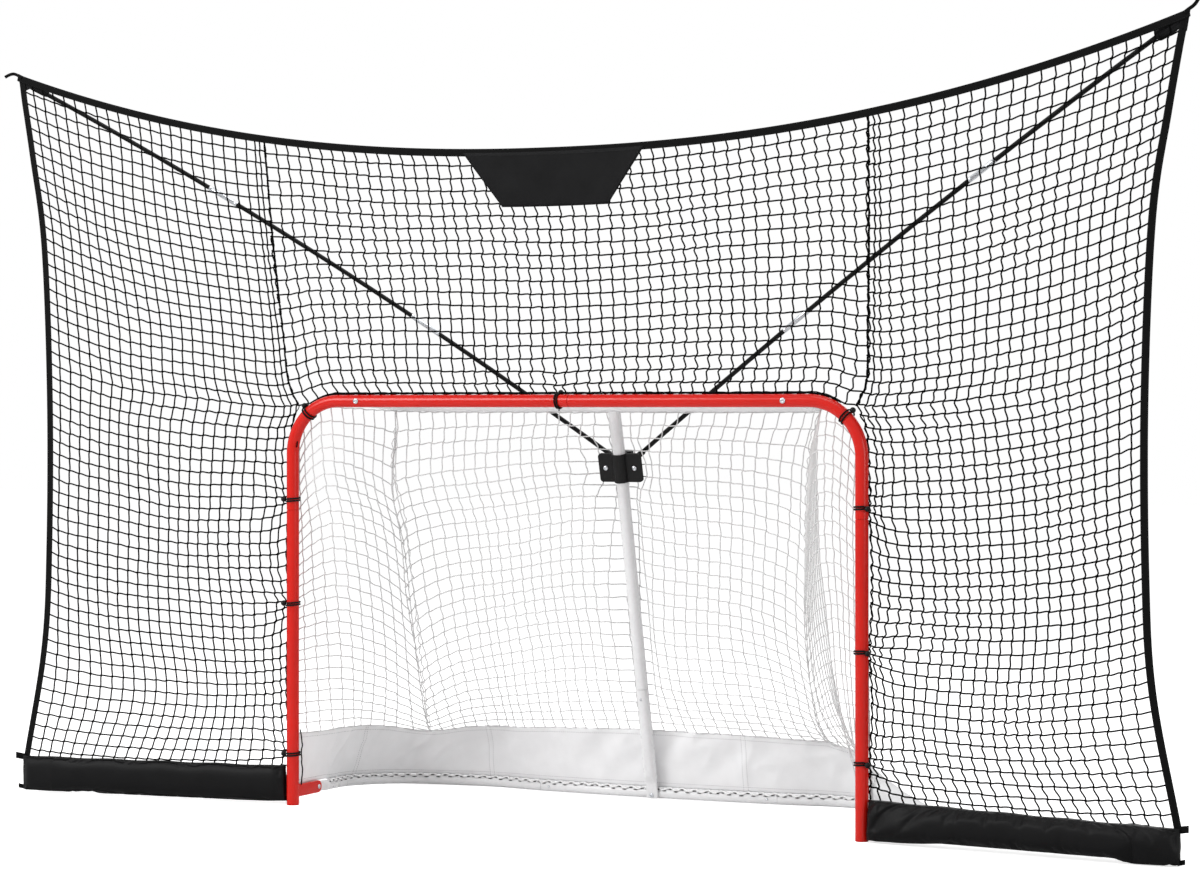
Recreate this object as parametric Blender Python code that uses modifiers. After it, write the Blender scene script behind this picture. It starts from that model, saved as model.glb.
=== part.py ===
"""Hockey goal with a net backstop over and beside its mouth. Metres, +Z up.

The goal faces -Y and stands on the floor at Z = 0. Points are written from the middle of the
goal line, X across the mouth, Y backwards and Z up. The empty goal_line carries every piece
from there to the origin, which is the middle of the footprint.
"""

import math

import bmesh
import bpy
from mathutils import Matrix, Vector

# Fits
FIT = 0.0003
SEWN_GAP = 0.0008
CUT_PAST = 0.002

# Red frame round the mouth
MOUTH_WIDTH = 1.829
MOUTH_HEIGHT = 1.219
RED_TUBE = 0.038
TUBE_WALL = 0.0015
CORNER_RADIUS = 0.160
CROSSBAR_SEAM = 0.015
POST_SEAM_HEIGHT = 0.905
SOCKET_DEPTH = 0.060

# Foot of a post: its cap, and the ear that carries the base
CAP_LIP = 0.0025
CAP_PLUG = 0.016
CAP_EDGE = 0.0006
PLUG_EDGE = 0.002
EAR_HEIGHT = 0.041
EAR_WIDTH = 0.038
EAR_THICKNESS = 0.009
EAR_BOLT_BACK = 0.146

# White base, top rail and back post
WHITE_TUBE = 0.032
BACK_TUBE = 0.038
PRESSED_THICKNESS = 0.009
PRESSED_LENGTH = 0.045
PRESSED_BLEND = 0.036
PRESSED_SPREAD_FACTOR = 1.2
PRESSED_TO_BOLT = 0.014
BASE_SEAM = 0.405
# Points of a side tube: outwards from the post's middle, and back from the goal line
BASE_SIDE_PLAN = ((0.0215, 0.270), (0.0345, 0.410), (-0.0235, 0.570), (-0.1335, 0.645), (-0.3335, 0.685))
BASE_JOINT_BACK = 0.652
BASE_REAR_BEND = (0.243, 0.635)
BASE_MIDDLE_BACK = 0.6263
JOINT_STRAIGHT = 0.012
RAIL_HALF = 0.722
RAIL_BACK = 0.330
RAIL_DROP = 0.0167
RAIL_RADIUS = 0.120
RAIL_BOLT = 0.700
BACK_POST_KNEE = (0.397, 0.967)
BACK_POST_SEAM_HEIGHT = 0.350
BACK_POST_COPE = 0.011
KNEE_BEND_SHARES = (0.9, 0.4)

# Fasteners, and points of a dome head as shares of its radius and height
BOLT_DOME = ((0.6, 0.85), (1.0, 0.3))
BOLT_SHANK = 0.006
BOLT_HEAD = 0.014
BOLT_HEAD_HEIGHT = 0.0045
RAIL_BOLT_HEAD = 0.017
RAIL_BOLT_REACH = 0.034
BRACKET_SCREW_HEAD = 0.016
NUT_WIDTH = 0.011
NUT_HEIGHT = 0.005

# Spring buttons that lock the tube joints
BUTTON = 0.007
BUTTON_PROUD = 0.0035
BUTTON_LENGTH = 0.0135
BUTTON_TRAVEL = 0.005
BUTTON_CROWN = 0.002
BUTTON_FLAT_SHARE = 0.6
BUTTON_FROM_SEAM = 0.030

# Bracket on the back post, and the two poles that it carries
BRACKET_HEIGHT_AT = 1.0355
BRACKET_WIDTH = 0.142
BRACKET_TALL = 0.089
BRACKET_WALL = 0.004
BRACKET_SPLIT = 0.003
BRACKET_CORNER = 0.010
BRACKET_SCREW = 0.048
BRACKET_RIB_WIDTH = 0.060
BRACKET_RIB_LOW = 0.004
POLE = 0.013
POLE_FOOT = (0.034, 0.412, 1.0638)
POLE_TIP_IN = 0.043
POLE_TIP_DOWN = 0.050
POLE_BOW = (0.0, 0.025, 0.035)
POLE_JOINT_SHARES = (0.325, 0.675)
FERRULE_LENGTH = 0.105
FERRULE_WALL = 0.0007
POLE_SOCKET = 0.036
POLE_SOCKET_WALL = 0.0025
POLE_SOCKET_FLOOR = 0.010

# Backstop
CORNER_HALF = 1.883
CORNER_HEIGHT = 2.268
TOP_MIDDLE_HEIGHT = 1.978
TOP_CURVE = 2.2
# Points of the side edge: in from the corner, and down from it
SIDE_EDGE = ((0.004, 0.043), (0.050, 0.268), (0.094, 0.552), (0.115, 1.028), (0.113, 1.498), (0.094, 1.818))
SIDE_EDGE_FOOT_IN = 0.035
BACKSTOP_FORWARD = 0.090
BACKSTOP_REACH = 0.800
WEBBING = 0.020
WEBBING_THICKNESS = 0.003
SEAM_TOP_OUT = 0.0515
SEAM_LOW_OUT = 0.0115
SEAM_APART = 0.004
SEAM_DROP = 0.150
NET_TO_FRAME = 0.0072
BANNER_TOP = 0.584
BANNER_LOW = 0.364
BANNER_TALL = 0.160
BANNER_THICKNESS = 0.002
SKIRT_HEIGHT = 0.105
SKIRT_DEPTH = 0.050
SKIRT_FROM_POST = 0.0225
SKIRT_SWELL_FACTOR = 1.365
SKIRT_HEM_FACTOR = 0.928
SKIRT_RISE_FACTOR = 1.16
SKIRT_CREASES = 3
SKIRT_PUFF_SHARE = 0.1
SKIRT_END_SHARE = 0.75
NET_THICKNESS = 0.002
BLACK_STRAND = 0.007
WHITE_STRAND = 0.007
POCKET_LENGTH = 0.075
POCKET_WIDTH = 0.040
POCKET_DEPTH = 0.021
POCKET_END = 0.022
POCKET_FOOT_SHARE = 0.8
POCKET_SHOULDER_SHARE = 0.4
TAIL_LENGTH = 0.045
TAIL_WIDTH = 0.012

# Elastic ball ties, and their heights up the posts
TIE_CORD = 0.004
TIE_BALL = 0.017
TIE_SPACING = 0.005
TIE_END_APART = 0.001
TIE_OUTWARD = (0.82, -0.57, 0.0)
CROSSBAR_TIE_OUTWARD = (0.0, 0.5, 0.866)
BEND_TIE_SPACING = 0.011
LEFT_TIES = (0.938, 0.619, 0.158)
RIGHT_TIES = (0.934, 0.529, 0.216)
CROSSBAR_TIE = -0.020

# Goal net
BAND_TOP = 0.205
BAND_THICKNESS = 0.0016
BAND_FOLD = 0.005
BAND_FOLDS = 9
BAND_LEAN = 0.218
BAND_UPRIGHT_TO = 0.050
BAND_LEAN_FROM = 0.500
BAND_EAR_END = 0.100
NET_BULGE = 0.014
NET_CORNER = 0.700
NET_POST_TOP = 0.600
NET_STRAIGHT_FROM = 0.180
NET_BEHIND_POST = 0.008
HEM_CORD = 0.006
HEM_WAVES = 24
HEM_TILT = 38
HEM_SWAY = 12

# Facets, steps along a path, and gaps across and down each panel of net
TUBE_SIDES = 12
COPE_SIDES = 16
POLE_SIDES = 8
CORD_SIDES = 4
BEND_STEPS = 6
ARC_STEPS = 8
CORNER_STEPS = 3
PATH_STEPS = 3
SIDE_EDGE_STEPS = 4
POLE_STEPS = 4
TIE_STEPS = 10
SAG_STEPS = 8
BORDER_STEPS = 36
WING_STEPS = 12
CENTRE_STEPS = 18
BANNER_CELLS = (6, 2)
WING_GAPS = (4, 8)
CENTRE_GAPS = (8, 3)
BACK_GAPS = (5, 4)
SIDE_GAPS = (3, 4)
TOP_GAPS = (6, 2)
SHARP_ANGLE = 40
NEAR = 0.01

# Sizes that follow from the others
POST_X = (MOUTH_WIDTH + RED_TUBE) / 2
CROSSBAR_Z = MOUTH_HEIGHT + RED_TUBE / 2
PRESSED_START = EAR_BOLT_BACK - PRESSED_TO_BOLT
PRESSED_END = PRESSED_START + PRESSED_LENGTH + PRESSED_BLEND
PRESSED_X = POST_X + EAR_THICKNESS / 2 + FIT + PRESSED_THICKNESS / 2
BASE_LOBE_BACK = BASE_SIDE_PLAN[-1][1]
SEAM_TOP = POST_X + SEAM_TOP_OUT
SEAM_LOW = POST_X + SEAM_LOW_OUT
SKIRT_INNER = POST_X + RED_TUBE / 2 + SKIRT_FROM_POST
FRONT_Y = -BACKSTOP_FORWARD - SKIRT_DEPTH / 2
REAR_Y = BASE_LOBE_BACK + WHITE_TUBE / 2
NET_BEHIND = (WEBBING_THICKNESS + NET_THICKNESS) / 2 + FIT
POCKET_Y = NET_BEHIND + NET_THICKNESS / 2 + FIT + POCKET_DEPTH / 2 - BACKSTOP_FORWARD
POLE_TIP = (CORNER_HALF - POLE_TIP_IN, POCKET_Y, CORNER_HEIGHT - POLE_TIP_DOWN)
NET_FRONT = RED_TUBE / 2 + TIE_CORD + NET_THICKNESS / 2 + FIT * 5
FOOTPRINT_MIDDLE = (FRONT_Y + REAR_Y) / 2
IN_PLACE = Matrix.Identity(4)


def clear_scene():
    for obj in list(bpy.data.objects):
        bpy.data.objects.remove(obj)


def new_collection(name):
    collection = bpy.data.collections.new(name)
    bpy.context.scene.collection.children.link(collection)
    return collection


def new_material(name, colour, roughness, metallic=0.0):
    material = bpy.data.materials.new(name)
    material.use_nodes = True
    shader = material.node_tree.nodes["Principled BSDF"]
    shader.inputs["Base Color"].default_value = (*colour, 1.0)
    shader.inputs["Roughness"].default_value = roughness
    shader.inputs["Metallic"].default_value = metallic
    return material


clear_scene()
PARTS = new_collection("hockey_goal")
CUTTERS = new_collection("cutters")
RED_COAT = new_material("red_powder_coat", (0.72, 0.02, 0.015), 0.35)
WHITE_COAT = new_material("white_powder_coat", (0.78, 0.78, 0.79), 0.4)
STEEL = new_material("bright_steel", (0.62, 0.62, 0.63), 0.25, 1.0)
BLACK_PLASTIC = new_material("black_plastic", (0.02, 0.02, 0.02), 0.5)
BLACK_FABRIC = new_material("black_fabric", (0.012, 0.012, 0.013), 0.85)
BLACK_CORD = new_material("black_cord", (0.01, 0.01, 0.01), 0.8)
WHITE_CORD = new_material("white_cord", (0.75, 0.75, 0.76), 0.8)
GREY_FABRIC = new_material("pale_grey_fabric", (0.66, 0.66, 0.67), 0.8)

GOAL_LINE = bpy.data.objects.new("goal_line", None)
GOAL_LINE.location = (0.0, -FOOTPRINT_MIDDLE, 0.0)
PARTS.objects.link(GOAL_LINE)


def add_part(name, mesh, material):
    mesh.materials.clear()
    mesh.materials.append(material)
    mesh.shade_smooth()
    mesh.set_sharp_from_angle(angle=math.radians(SHARP_ANGLE))
    part = bpy.data.objects.new(name, mesh)
    part.parent = GOAL_LINE
    PARTS.objects.link(part)
    return part


def add_helper(name, mesh):
    """A piece that only cuts or joins another: it is drawn as wire and never rendered."""
    helper = bpy.data.objects.new(name, mesh)
    helper.parent = GOAL_LINE
    helper.hide_render = True
    helper.display_type = "WIRE"
    CUTTERS.objects.link(helper)
    return helper


def combine(part, operation, helper):
    boolean = part.modifiers.new(helper.name, "BOOLEAN")
    boolean.operation = operation
    boolean.object = helper


def mesh_from(name, work):
    """Ends work on a bmesh: welds it, turns its faces out and returns its mesh."""
    bmesh.ops.remove_doubles(work, verts=work.verts, dist=1e-6)
    bmesh.ops.recalc_face_normals(work, faces=work.faces)
    mesh = bpy.data.meshes.new(name)
    work.to_mesh(mesh)
    work.free()
    return mesh


def mirrored(point, side):
    """The point for the right side (side 1) or its mirror image for the left (side -1)."""
    return Vector((point[0] * side, point[1], point[2]))


def smooth_path(points, steps):
    """A smooth curve through the points, with this many steps between two of them."""
    points = [Vector(point) for point in points]
    ends = [2 * points[0] - points[1], *points, 2 * points[-1] - points[-2]]
    path = []
    for a, b, c, d in zip(ends, ends[1:], ends[2:], ends[3:]):
        for step in range(steps):
            f = step / steps
            bend = (2 * a - 5 * b + 4 * c - d) * f**2 + (3 * b - a - 3 * c + d) * f**3
            path.append(b + 0.5 * ((c - a) * f + bend))
    return [*path, points[-1]]


def rounded_path(corners, radius, steps):
    """Straight runs from corner to corner, with an arc at each corner between the ends."""
    corners = [Vector(corner) for corner in corners]
    path = [corners[0]]
    for before, corner, after in zip(corners, corners[1:], corners[2:]):
        back = (before - corner).normalized()
        ahead = (after - corner).normalized()
        half = back.angle(ahead) / 2
        centre = corner + (back + ahead).normalized() * radius / math.sin(half)
        start = corner + back * radius / math.tan(half) - centre
        end = corner + ahead * radius / math.tan(half) - centre
        sweep = start.angle(end)
        for step in range(steps + 1):
            f = step / steps
            turned = start * math.sin((1 - f) * sweep) + end * math.sin(f * sweep)
            path.append(centre + turned / math.sin(sweep))
    return [*path, corners[-1]]


def path_lengths(path):
    lengths = [0.0]
    for before, after in zip(path, path[1:]):
        lengths.append(lengths[-1] + (after - before).length)
    return lengths


def along(path, share):
    """The point at this share of the path's length, and the path's direction there."""
    lengths = path_lengths(path)
    wanted = share * lengths[-1]
    index = 1
    while index < len(path) - 1 and lengths[index] < wanted:
        index += 1
    run = path[index] - path[index - 1]
    rest = (wanted - lengths[index - 1]) / run.length
    return path[index - 1] + run * rest, run.normalized()


def curve_mesh(data, place=IN_PLACE):
    """The closed mesh of a curve with a bevel or an extrusion, its caps welded on."""
    carrier = bpy.data.objects.new(data.name, data)
    bpy.context.scene.collection.objects.link(carrier)
    bpy.context.view_layer.update()
    graph = bpy.context.evaluated_depsgraph_get()
    loose = bpy.data.meshes.new_from_object(carrier.evaluated_get(graph))
    bpy.data.objects.remove(carrier)
    work = bmesh.new()
    work.from_mesh(loose)
    bpy.data.meshes.remove(loose)
    work.transform(place)
    return mesh_from(data.name, work)


def tube_mesh(name, path, diameter, radii=None, sides=TUBE_SIDES):
    """A round bar along the path. radii scale its radius at each point."""
    data = bpy.data.curves.new(name, "CURVE")
    data.dimensions = "3D"
    data.bevel_depth = diameter / 2
    data.bevel_resolution = (sides - 4) // 2
    data.use_fill_caps = True
    spline = data.splines.new("POLY")
    spline.points.add(len(path) - 1)
    for point, place, scale in zip(spline.points, path, radii or [1.0] * len(path)):
        point.co = (*place, 1.0)
        point.radius = scale
    return curve_mesh(data)


def plate_mesh(name, outline, thickness, place=IN_PLACE):
    """A flat plate: the outline's points in X and Y, as thick to each side along Z."""
    data = bpy.data.curves.new(name, "CURVE")
    data.dimensions = "2D"
    data.fill_mode = "BOTH"
    data.extrude = thickness / 2
    spline = data.splines.new("POLY")
    spline.points.add(len(outline) - 1)
    spline.use_cyclic_u = True
    for point, corner in zip(spline.points, outline):
        point.co = (corner[0], corner[1], 0.0, 1.0)
    return curve_mesh(data, place)


def arc(centre, radius, start, end, steps):
    """Points of an arc in the plane, from one angle to the other, in degrees."""
    points = []
    for step in range(steps + 1):
        angle = math.radians(start + (end - start) * step / steps)
        points.append((centre[0] + radius * math.cos(angle), centre[1] + radius * math.sin(angle)))
    return points


def rounded_rectangle(width, height, radius):
    x, y = width / 2 - radius, height / 2 - radius
    corners = ((x, y, 0), (-x, y, 90), (-x, -y, 180), (x, -y, 270))
    points = []
    for a, b, turn in corners:
        points += arc((a, b), radius, turn, turn + 90, CORNER_STEPS)
    return points


def inside_radius(radius, sides=TUBE_SIDES):
    """The radius of a faceted bar that turns freely in a faceted bore of this radius."""
    return radius * math.cos(math.pi / sides) - FIT


def bore_radius(radius, sides=TUBE_SIDES, fit=FIT):
    """The radius of a faceted bore that clears a round bar of this radius all round."""
    return (radius + fit) / math.cos(math.pi / sides)


def spigot(path, diameter):
    """Adds a drawn-in end to the path: (path, radii) for tube_mesh."""
    end = path[-1]
    ahead = (path[-1] - path[-2]).normalized()
    small = inside_radius(diameter / 2 - TUBE_WALL) / (diameter / 2)
    drawn = [end - ahead * FIT, end + ahead * (SOCKET_DEPTH - FIT)]
    return [*path[:-1], end - ahead * FIT * 3, *drawn], [1.0] * len(path) + [small, small]


def drill(part, start, end, radius, sides=TUBE_SIDES):
    """Cuts a round hole from start to end."""
    name = f"{part.name}_hole_{len(part.modifiers)}"
    combine(part, "DIFFERENCE", add_helper(name, tube_mesh(name, [start, end], radius * 2, sides=sides)))


def open_socket(part, end, ahead, diameter):
    """Cuts the bore in which the next tube's spigot sits."""
    drill(part, end + ahead * CUT_PAST, end - ahead * (SOCKET_DEPTH + FIT), diameter / 2 - TUBE_WALL)


def press_flat(mesh, end, ahead, across, diameter):
    """Presses the tube's end flat, thin along across and as much wider along the third axis."""
    across = Vector(across).normalized()
    wide_way = ahead.cross(across).normalized()
    thin = PRESSED_THICKNESS / diameter
    for vertex in mesh.vertices:
        offset = vertex.co - end
        back = -offset.dot(ahead)
        blend = min(max((back - PRESSED_LENGTH) / PRESSED_BLEND, 0.0), 1.0)
        if blend < 1.0:
            f = blend * blend * (3 - 2 * blend)
            vertex.co += across * offset.dot(across) * (thin - 1) * (1 - f)
            vertex.co += wide_way * offset.dot(wide_way) * (PRESSED_SPREAD_FACTOR - 1) * (1 - f)


def turned_part(name, profile, place, axis, material, steps=TUBE_SIDES):
    """A turned piece: the profile's (radius, height) run from its top down, about the axis."""
    mesh = bpy.data.meshes.new(name)
    points = [(radius, 0.0, height) for radius, height in profile]
    mesh.from_pydata(points, [(i, i + 1) for i in range(len(points) - 1)], [])
    part = add_part(name, mesh, material)
    part.location = place
    part.rotation_euler = Vector(axis).to_track_quat("Z", "Y").to_euler()
    screw = part.modifiers.new("turn", "SCREW")
    screw.steps = steps
    screw.render_steps = steps
    screw.use_merge_vertices = True
    screw.merge_threshold = 1e-5
    return part


def bolt(name, place, axis, head, grip, nut=True):
    """A dome-headed bolt, its head's seat at place. axis points out of the head."""
    shank = BOLT_SHANK / 2
    tall = BOLT_HEAD_HEIGHT
    dome = [(0.0, tall)] + [(head / 2 * across, tall * up) for across, up in BOLT_DOME]
    body = [(head / 2, 0.0), (shank, 0.0), (shank, -grip)]
    end = [(0.0, -grip)]
    if nut:
        end = [(NUT_WIDTH / 2, -grip), (NUT_WIDTH / 2, -grip - NUT_HEIGHT), (0.0, -grip - NUT_HEIGHT)]
    return turned_part(name, dome + body + end, place, axis, STEEL)


def mapped_grid(name, across, down, surface, open_gaps=False):
    """A sheet through surface(u, v) at these lines. With open_gaps every second cell is a hole."""
    columns = len(across) - 1
    rows = len(down) - 1
    work = bmesh.new()
    bmesh.ops.create_grid(work, x_segments=columns, y_segments=rows, size=0.5)
    if open_gaps:
        gaps = []
        for face in work.faces:
            middle = face.calc_center_median()
            column = int((middle.x + 0.5) * columns)
            row = int((0.5 - middle.y) * rows)
            if column % 2 and row % 2:
                gaps.append(face)
        bmesh.ops.delete(work, geom=gaps, context="FACES")
    for vertex in work.verts:
        column = round((vertex.co.x + 0.5) * columns)
        row = round((0.5 - vertex.co.y) * rows)
        vertex.co = surface(across[column], down[row])
    mesh = bpy.data.meshes.new(name)
    work.to_mesh(mesh)
    work.free()
    return mesh


def thicken(part, thickness):
    solid = part.modifiers.new("thickness", "SOLIDIFY")
    solid.thickness = thickness
    solid.offset = 0.0
    solid.use_even_offset = True


def even_lines(count):
    return [index / count for index in range(count + 1)]


def strand_lines(gaps, strand):
    """Both edges of each strand, as shares, for this many gaps and a strand's share."""
    lines = []
    for index in range(gaps + 1):
        left = index * (1 - strand) / gaps
        lines += [left, left + strand]
    return lines


def stretched(top, bottom, left, right):
    """The surface of cloth held along four paths that meet at its corners."""

    def surface(u, v):
        rows = along(top, u)[0].lerp(along(bottom, u)[0], v)
        columns = along(left, v)[0].lerp(along(right, v)[0], u)
        corners = top[0].lerp(top[-1], u).lerp(bottom[0].lerp(bottom[-1], u), v)
        return rows + columns - corners

    return surface


def net(name, surface, gaps, strands, material):
    """A knotted net as flat strands: (columns, rows) of gaps, and each way a strand's share."""
    across, down = (strand_lines(*line) for line in zip(gaps, strands))
    mesh = mapped_grid(name, across, down, surface, open_gaps=True)
    thicken(add_part(name, mesh, material), NET_THICKNESS)


def crossbar_path(side, start):
    """Centreline of the crossbar from start, the bend and the post, down to the seam."""
    corners = [(start, 0, CROSSBAR_Z), (POST_X * side, 0, CROSSBAR_Z), (POST_X * side, 0, POST_SEAM_HEIGHT)]
    return rounded_path(corners, CORNER_RADIUS, BEND_STEPS)


def rail_height(y):
    """Height of the top rail's centreline, which falls from the crossbar to the back."""
    return CROSSBAR_Z - RAIL_DROP * y / RAIL_BACK


def rail_path():
    """Centreline of the top rail, from its left end round the back to its right end."""
    plan = [(-RAIL_BOLT, 0, 0), (-RAIL_HALF, RAIL_BACK, 0), (RAIL_HALF, RAIL_BACK, 0), (RAIL_BOLT, 0, 0)]
    return [Vector((x, y, rail_height(y))) for x, y, _ in rounded_path(plan, RAIL_RADIUS, BEND_STEPS)]


def base_height(y):
    """Height of the base tube's centreline: from the ear's bolt down to the floor at the lobes."""
    fall = EAR_HEIGHT - WHITE_TUBE / 2
    return EAR_HEIGHT - fall * (y - EAR_BOLT_BACK) / (BASE_LOBE_BACK - EAR_BOLT_BACK)


def back_post_point(height):
    """Centreline of the back post: straight from the base to its knee, then to the rail."""
    knee_back, knee_height = BACK_POST_KNEE
    foot_height = base_height(BASE_MIDDLE_BACK)
    foot_back = BASE_MIDDLE_BACK - (WHITE_TUBE + PRESSED_THICKNESS) / 2 - FIT
    if height < knee_height:
        f = (height - foot_height) / (knee_height - foot_height)
        return Vector((0, foot_back + (knee_back - foot_back) * f, height))
    f = (height - knee_height) / (rail_height(RAIL_BACK) - knee_height)
    return Vector((0, knee_back + (RAIL_BACK - knee_back) * f, height))


def base_side_path(side):
    """Centreline of a side of the base, from its pressed end at the ear to the joint."""
    straight = [PRESSED_START, PRESSED_START + PRESSED_LENGTH, PRESSED_END - PRESSED_BLEND / 2, PRESSED_END]
    bend = [(POST_X + outward, back) for outward, back in BASE_SIDE_PLAN]
    free = [(PRESSED_X, straight[-1]), *bend, (BASE_SEAM, BASE_JOINT_BACK)]
    plan = [(PRESSED_X, y, 0) for y in straight[:-1]]
    plan += [tuple(point) for point in smooth_path([(x, y, 0) for x, y in free], PATH_STEPS)]
    return [mirrored((x, y, base_height(y)), side) for x, y, _ in plan]


def base_rear_path():
    """Centreline of the base's rear tube, from joint to joint."""
    half = [(BASE_SEAM, BASE_JOINT_BACK), BASE_REAR_BEND, (0, BASE_MIDDLE_BACK)]
    plan = [(-x, y, 0) for x, y in half] + [(x, y, 0) for x, y in reversed(half[:-1])]
    return [Vector((x, y, base_height(y))) for x, y, _ in smooth_path(plan, PATH_STEPS)]


def corner_tubes():
    """The two upper corners of the red frame: half the crossbar, the bend and the upper post."""
    left_path = crossbar_path(-1, CROSSBAR_SEAM)
    left = add_part("corner_tube_left", tube_mesh("corner_tube_left", left_path, RED_TUBE), RED_COAT)
    open_socket(left, left_path[0], Vector((1, 0, 0)), RED_TUBE)
    right_path = crossbar_path(1, CROSSBAR_SEAM)
    path, radii = spigot(right_path[::-1], RED_TUBE)
    right = add_part("corner_tube_right", tube_mesh("corner_tube_right", path, RED_TUBE, radii), RED_COAT)
    for side, corner, route in ((-1, left, left_path), (1, right, right_path)):
        open_socket(corner, route[-1], Vector((0, 0, -1)), RED_TUBE)
        hole = Vector((RAIL_BOLT * side, 0, CROSSBAR_Z))
        reach = Vector((0, RED_TUBE, 0))
        drill(corner, hole - reach, hole + reach, bore_radius(BOLT_SHANK / 2))


def ear_mesh(name):
    """The flat ear behind a post's foot, round at the end that carries the bolt."""
    half = EAR_WIDTH / 2
    end = arc((EAR_BOLT_BACK, EAR_HEIGHT), half, -90, 90, ARC_STEPS)
    outline = [(0, EAR_HEIGHT - half), *end, (0, EAR_HEIGHT + half)]
    upright = Matrix(((0, 0, 1), (1, 0, 0), (0, 1, 0))).to_4x4()
    return plate_mesh(name, outline, EAR_THICKNESS, upright)


def foot_cap(name, x):
    """The plug and lip that close a post's foot."""
    plug = inside_radius(RED_TUBE / 2 - TUBE_WALL)
    lip = RED_TUBE / 2
    top = CAP_LIP + CAP_PLUG
    profile = [(0.0, top), (plug - PLUG_EDGE / 2, top), (plug, top - PLUG_EDGE), (plug, CAP_LIP)]
    profile += [(lip, CAP_LIP), (lip, CAP_EDGE), (lip - CAP_EDGE, 0.0), (0.0, 0.0)]
    turned_part(name, profile, (x, 0, 0), (0, 0, 1), RED_COAT)


def lower_post(side, name):
    """A lower post: spigot at its top, ear at its back, and its foot open for the cap."""
    foot = Vector((POST_X * side, 0, CAP_LIP + FIT))
    path, radii = spigot([foot, Vector((POST_X * side, 0, POST_SEAM_HEIGHT))], RED_TUBE)
    post = add_part(f"post_{name}", tube_mesh(f"post_{name}", path, RED_TUBE, radii), RED_COAT)
    ear = add_helper(f"ear_{name}", ear_mesh(f"ear_{name}"))
    ear.location.x = POST_X * side
    combine(post, "UNION", ear)
    open_foot = foot + Vector((0, 0, CAP_PLUG + FIT))
    drill(post, foot - Vector((0, 0, CUT_PAST)), open_foot, RED_TUBE / 2 - TUBE_WALL)
    hole = Vector((POST_X * side, EAR_BOLT_BACK, EAR_HEIGHT))
    reach = Vector((EAR_THICKNESS, 0, 0))
    drill(post, hole - reach, hole + reach, bore_radius(BOLT_SHANK / 2))
    foot_cap(f"foot_cap_{name}", POST_X * side)


def snap_button(name, outer, inner, centre, facing, diameter):
    """A spring button in the inner tube's end, through the hole in the outer tube."""
    hole = bore_radius(BUTTON / 2)
    top = diameter / 2 + BUTTON_PROUD
    bottom = top - BUTTON_LENGTH
    drill(outer, centre, centre + facing * diameter, hole)
    drill(inner, centre + facing * (bottom - BUTTON_TRAVEL - FIT * 2), centre + facing * diameter, hole)
    radius = BUTTON / 2
    flat = radius * BUTTON_FLAT_SHARE
    crown = [(0.0, top), (flat, top - BUTTON_CROWN / 4), (radius, top - BUTTON_CROWN)]
    turned_part(name, crown + [(radius, bottom), (0.0, bottom)], centre, facing, STEEL)


def base_tubes():
    """The base: two curved sides and the rear tube, locked by a spring button at each joint."""
    rear_path = base_rear_path()
    rear = add_part("base_tube_rear", tube_mesh("base_tube_rear", rear_path, WHITE_TUBE), WHITE_COAT)
    for side, name, ends in ((-1, "left", rear_path[:2]), (1, "right", rear_path[:-3:-1])):
        end = ends[0]
        outward = (end - ends[1]).normalized()
        open_socket(rear, end, outward, WHITE_TUBE)
        route = base_side_path(side)
        path, radii = spigot([*route[:-1], end + outward * JOINT_STRAIGHT, end], WHITE_TUBE)
        mesh = tube_mesh(f"base_tube_{name}", path, WHITE_TUBE, radii)
        press_flat(mesh, route[0], Vector((0, -1, 0)), (1, 0, 0), WHITE_TUBE)
        tube = add_part(f"base_tube_{name}", mesh, WHITE_COAT)
        hole = Vector((PRESSED_X * side, EAR_BOLT_BACK, EAR_HEIGHT))
        reach = Vector((PRESSED_THICKNESS, 0, 0))
        drill(tube, hole - reach, hole + reach, bore_radius(BOLT_SHANK / 2))
        centre = end - outward * BUTTON_FROM_SEAM
        snap_button(f"snap_button_{name}", rear, tube, centre, Vector((0, -1, 0)), WHITE_TUBE)
        head = Vector(((POST_X - EAR_THICKNESS / 2 - FIT) * side, EAR_BOLT_BACK, EAR_HEIGHT))
        grip = EAR_THICKNESS + PRESSED_THICKNESS + FIT * 3
        bolt(f"ear_bolt_{name}", head, (-side, 0, 0), BOLT_HEAD, grip)
    return rear


def top_rail():
    """The white rail behind the crossbar, its two ends shaped to the crossbar and bolted."""
    front = RED_TUBE / 2 + FIT
    rail = add_part("top_rail", tube_mesh("top_rail", rail_path(), WHITE_TUBE), WHITE_COAT)
    ends = Vector((RAIL_BOLT + WHITE_TUBE, 0, CROSSBAR_Z))
    drill(rail, mirrored(ends, -1), ends, bore_radius(RED_TUBE / 2, COPE_SIDES), sides=COPE_SIDES)
    grip = RED_TUBE + RAIL_BOLT_REACH
    for side, name in ((-1, "left"), (1, "right")):
        seat = Vector((RAIL_BOLT * side, -front, CROSSBAR_Z))
        inner = seat + Vector((0, grip + FIT * 2, 0))
        drill(rail, Vector((seat.x, 0, CROSSBAR_Z)), inner, bore_radius(BOLT_SHANK / 2))
        bolt(f"rail_bolt_{name}", seat, (0, -1, 0), RAIL_BOLT_HEAD, grip, nut=False)


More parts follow.
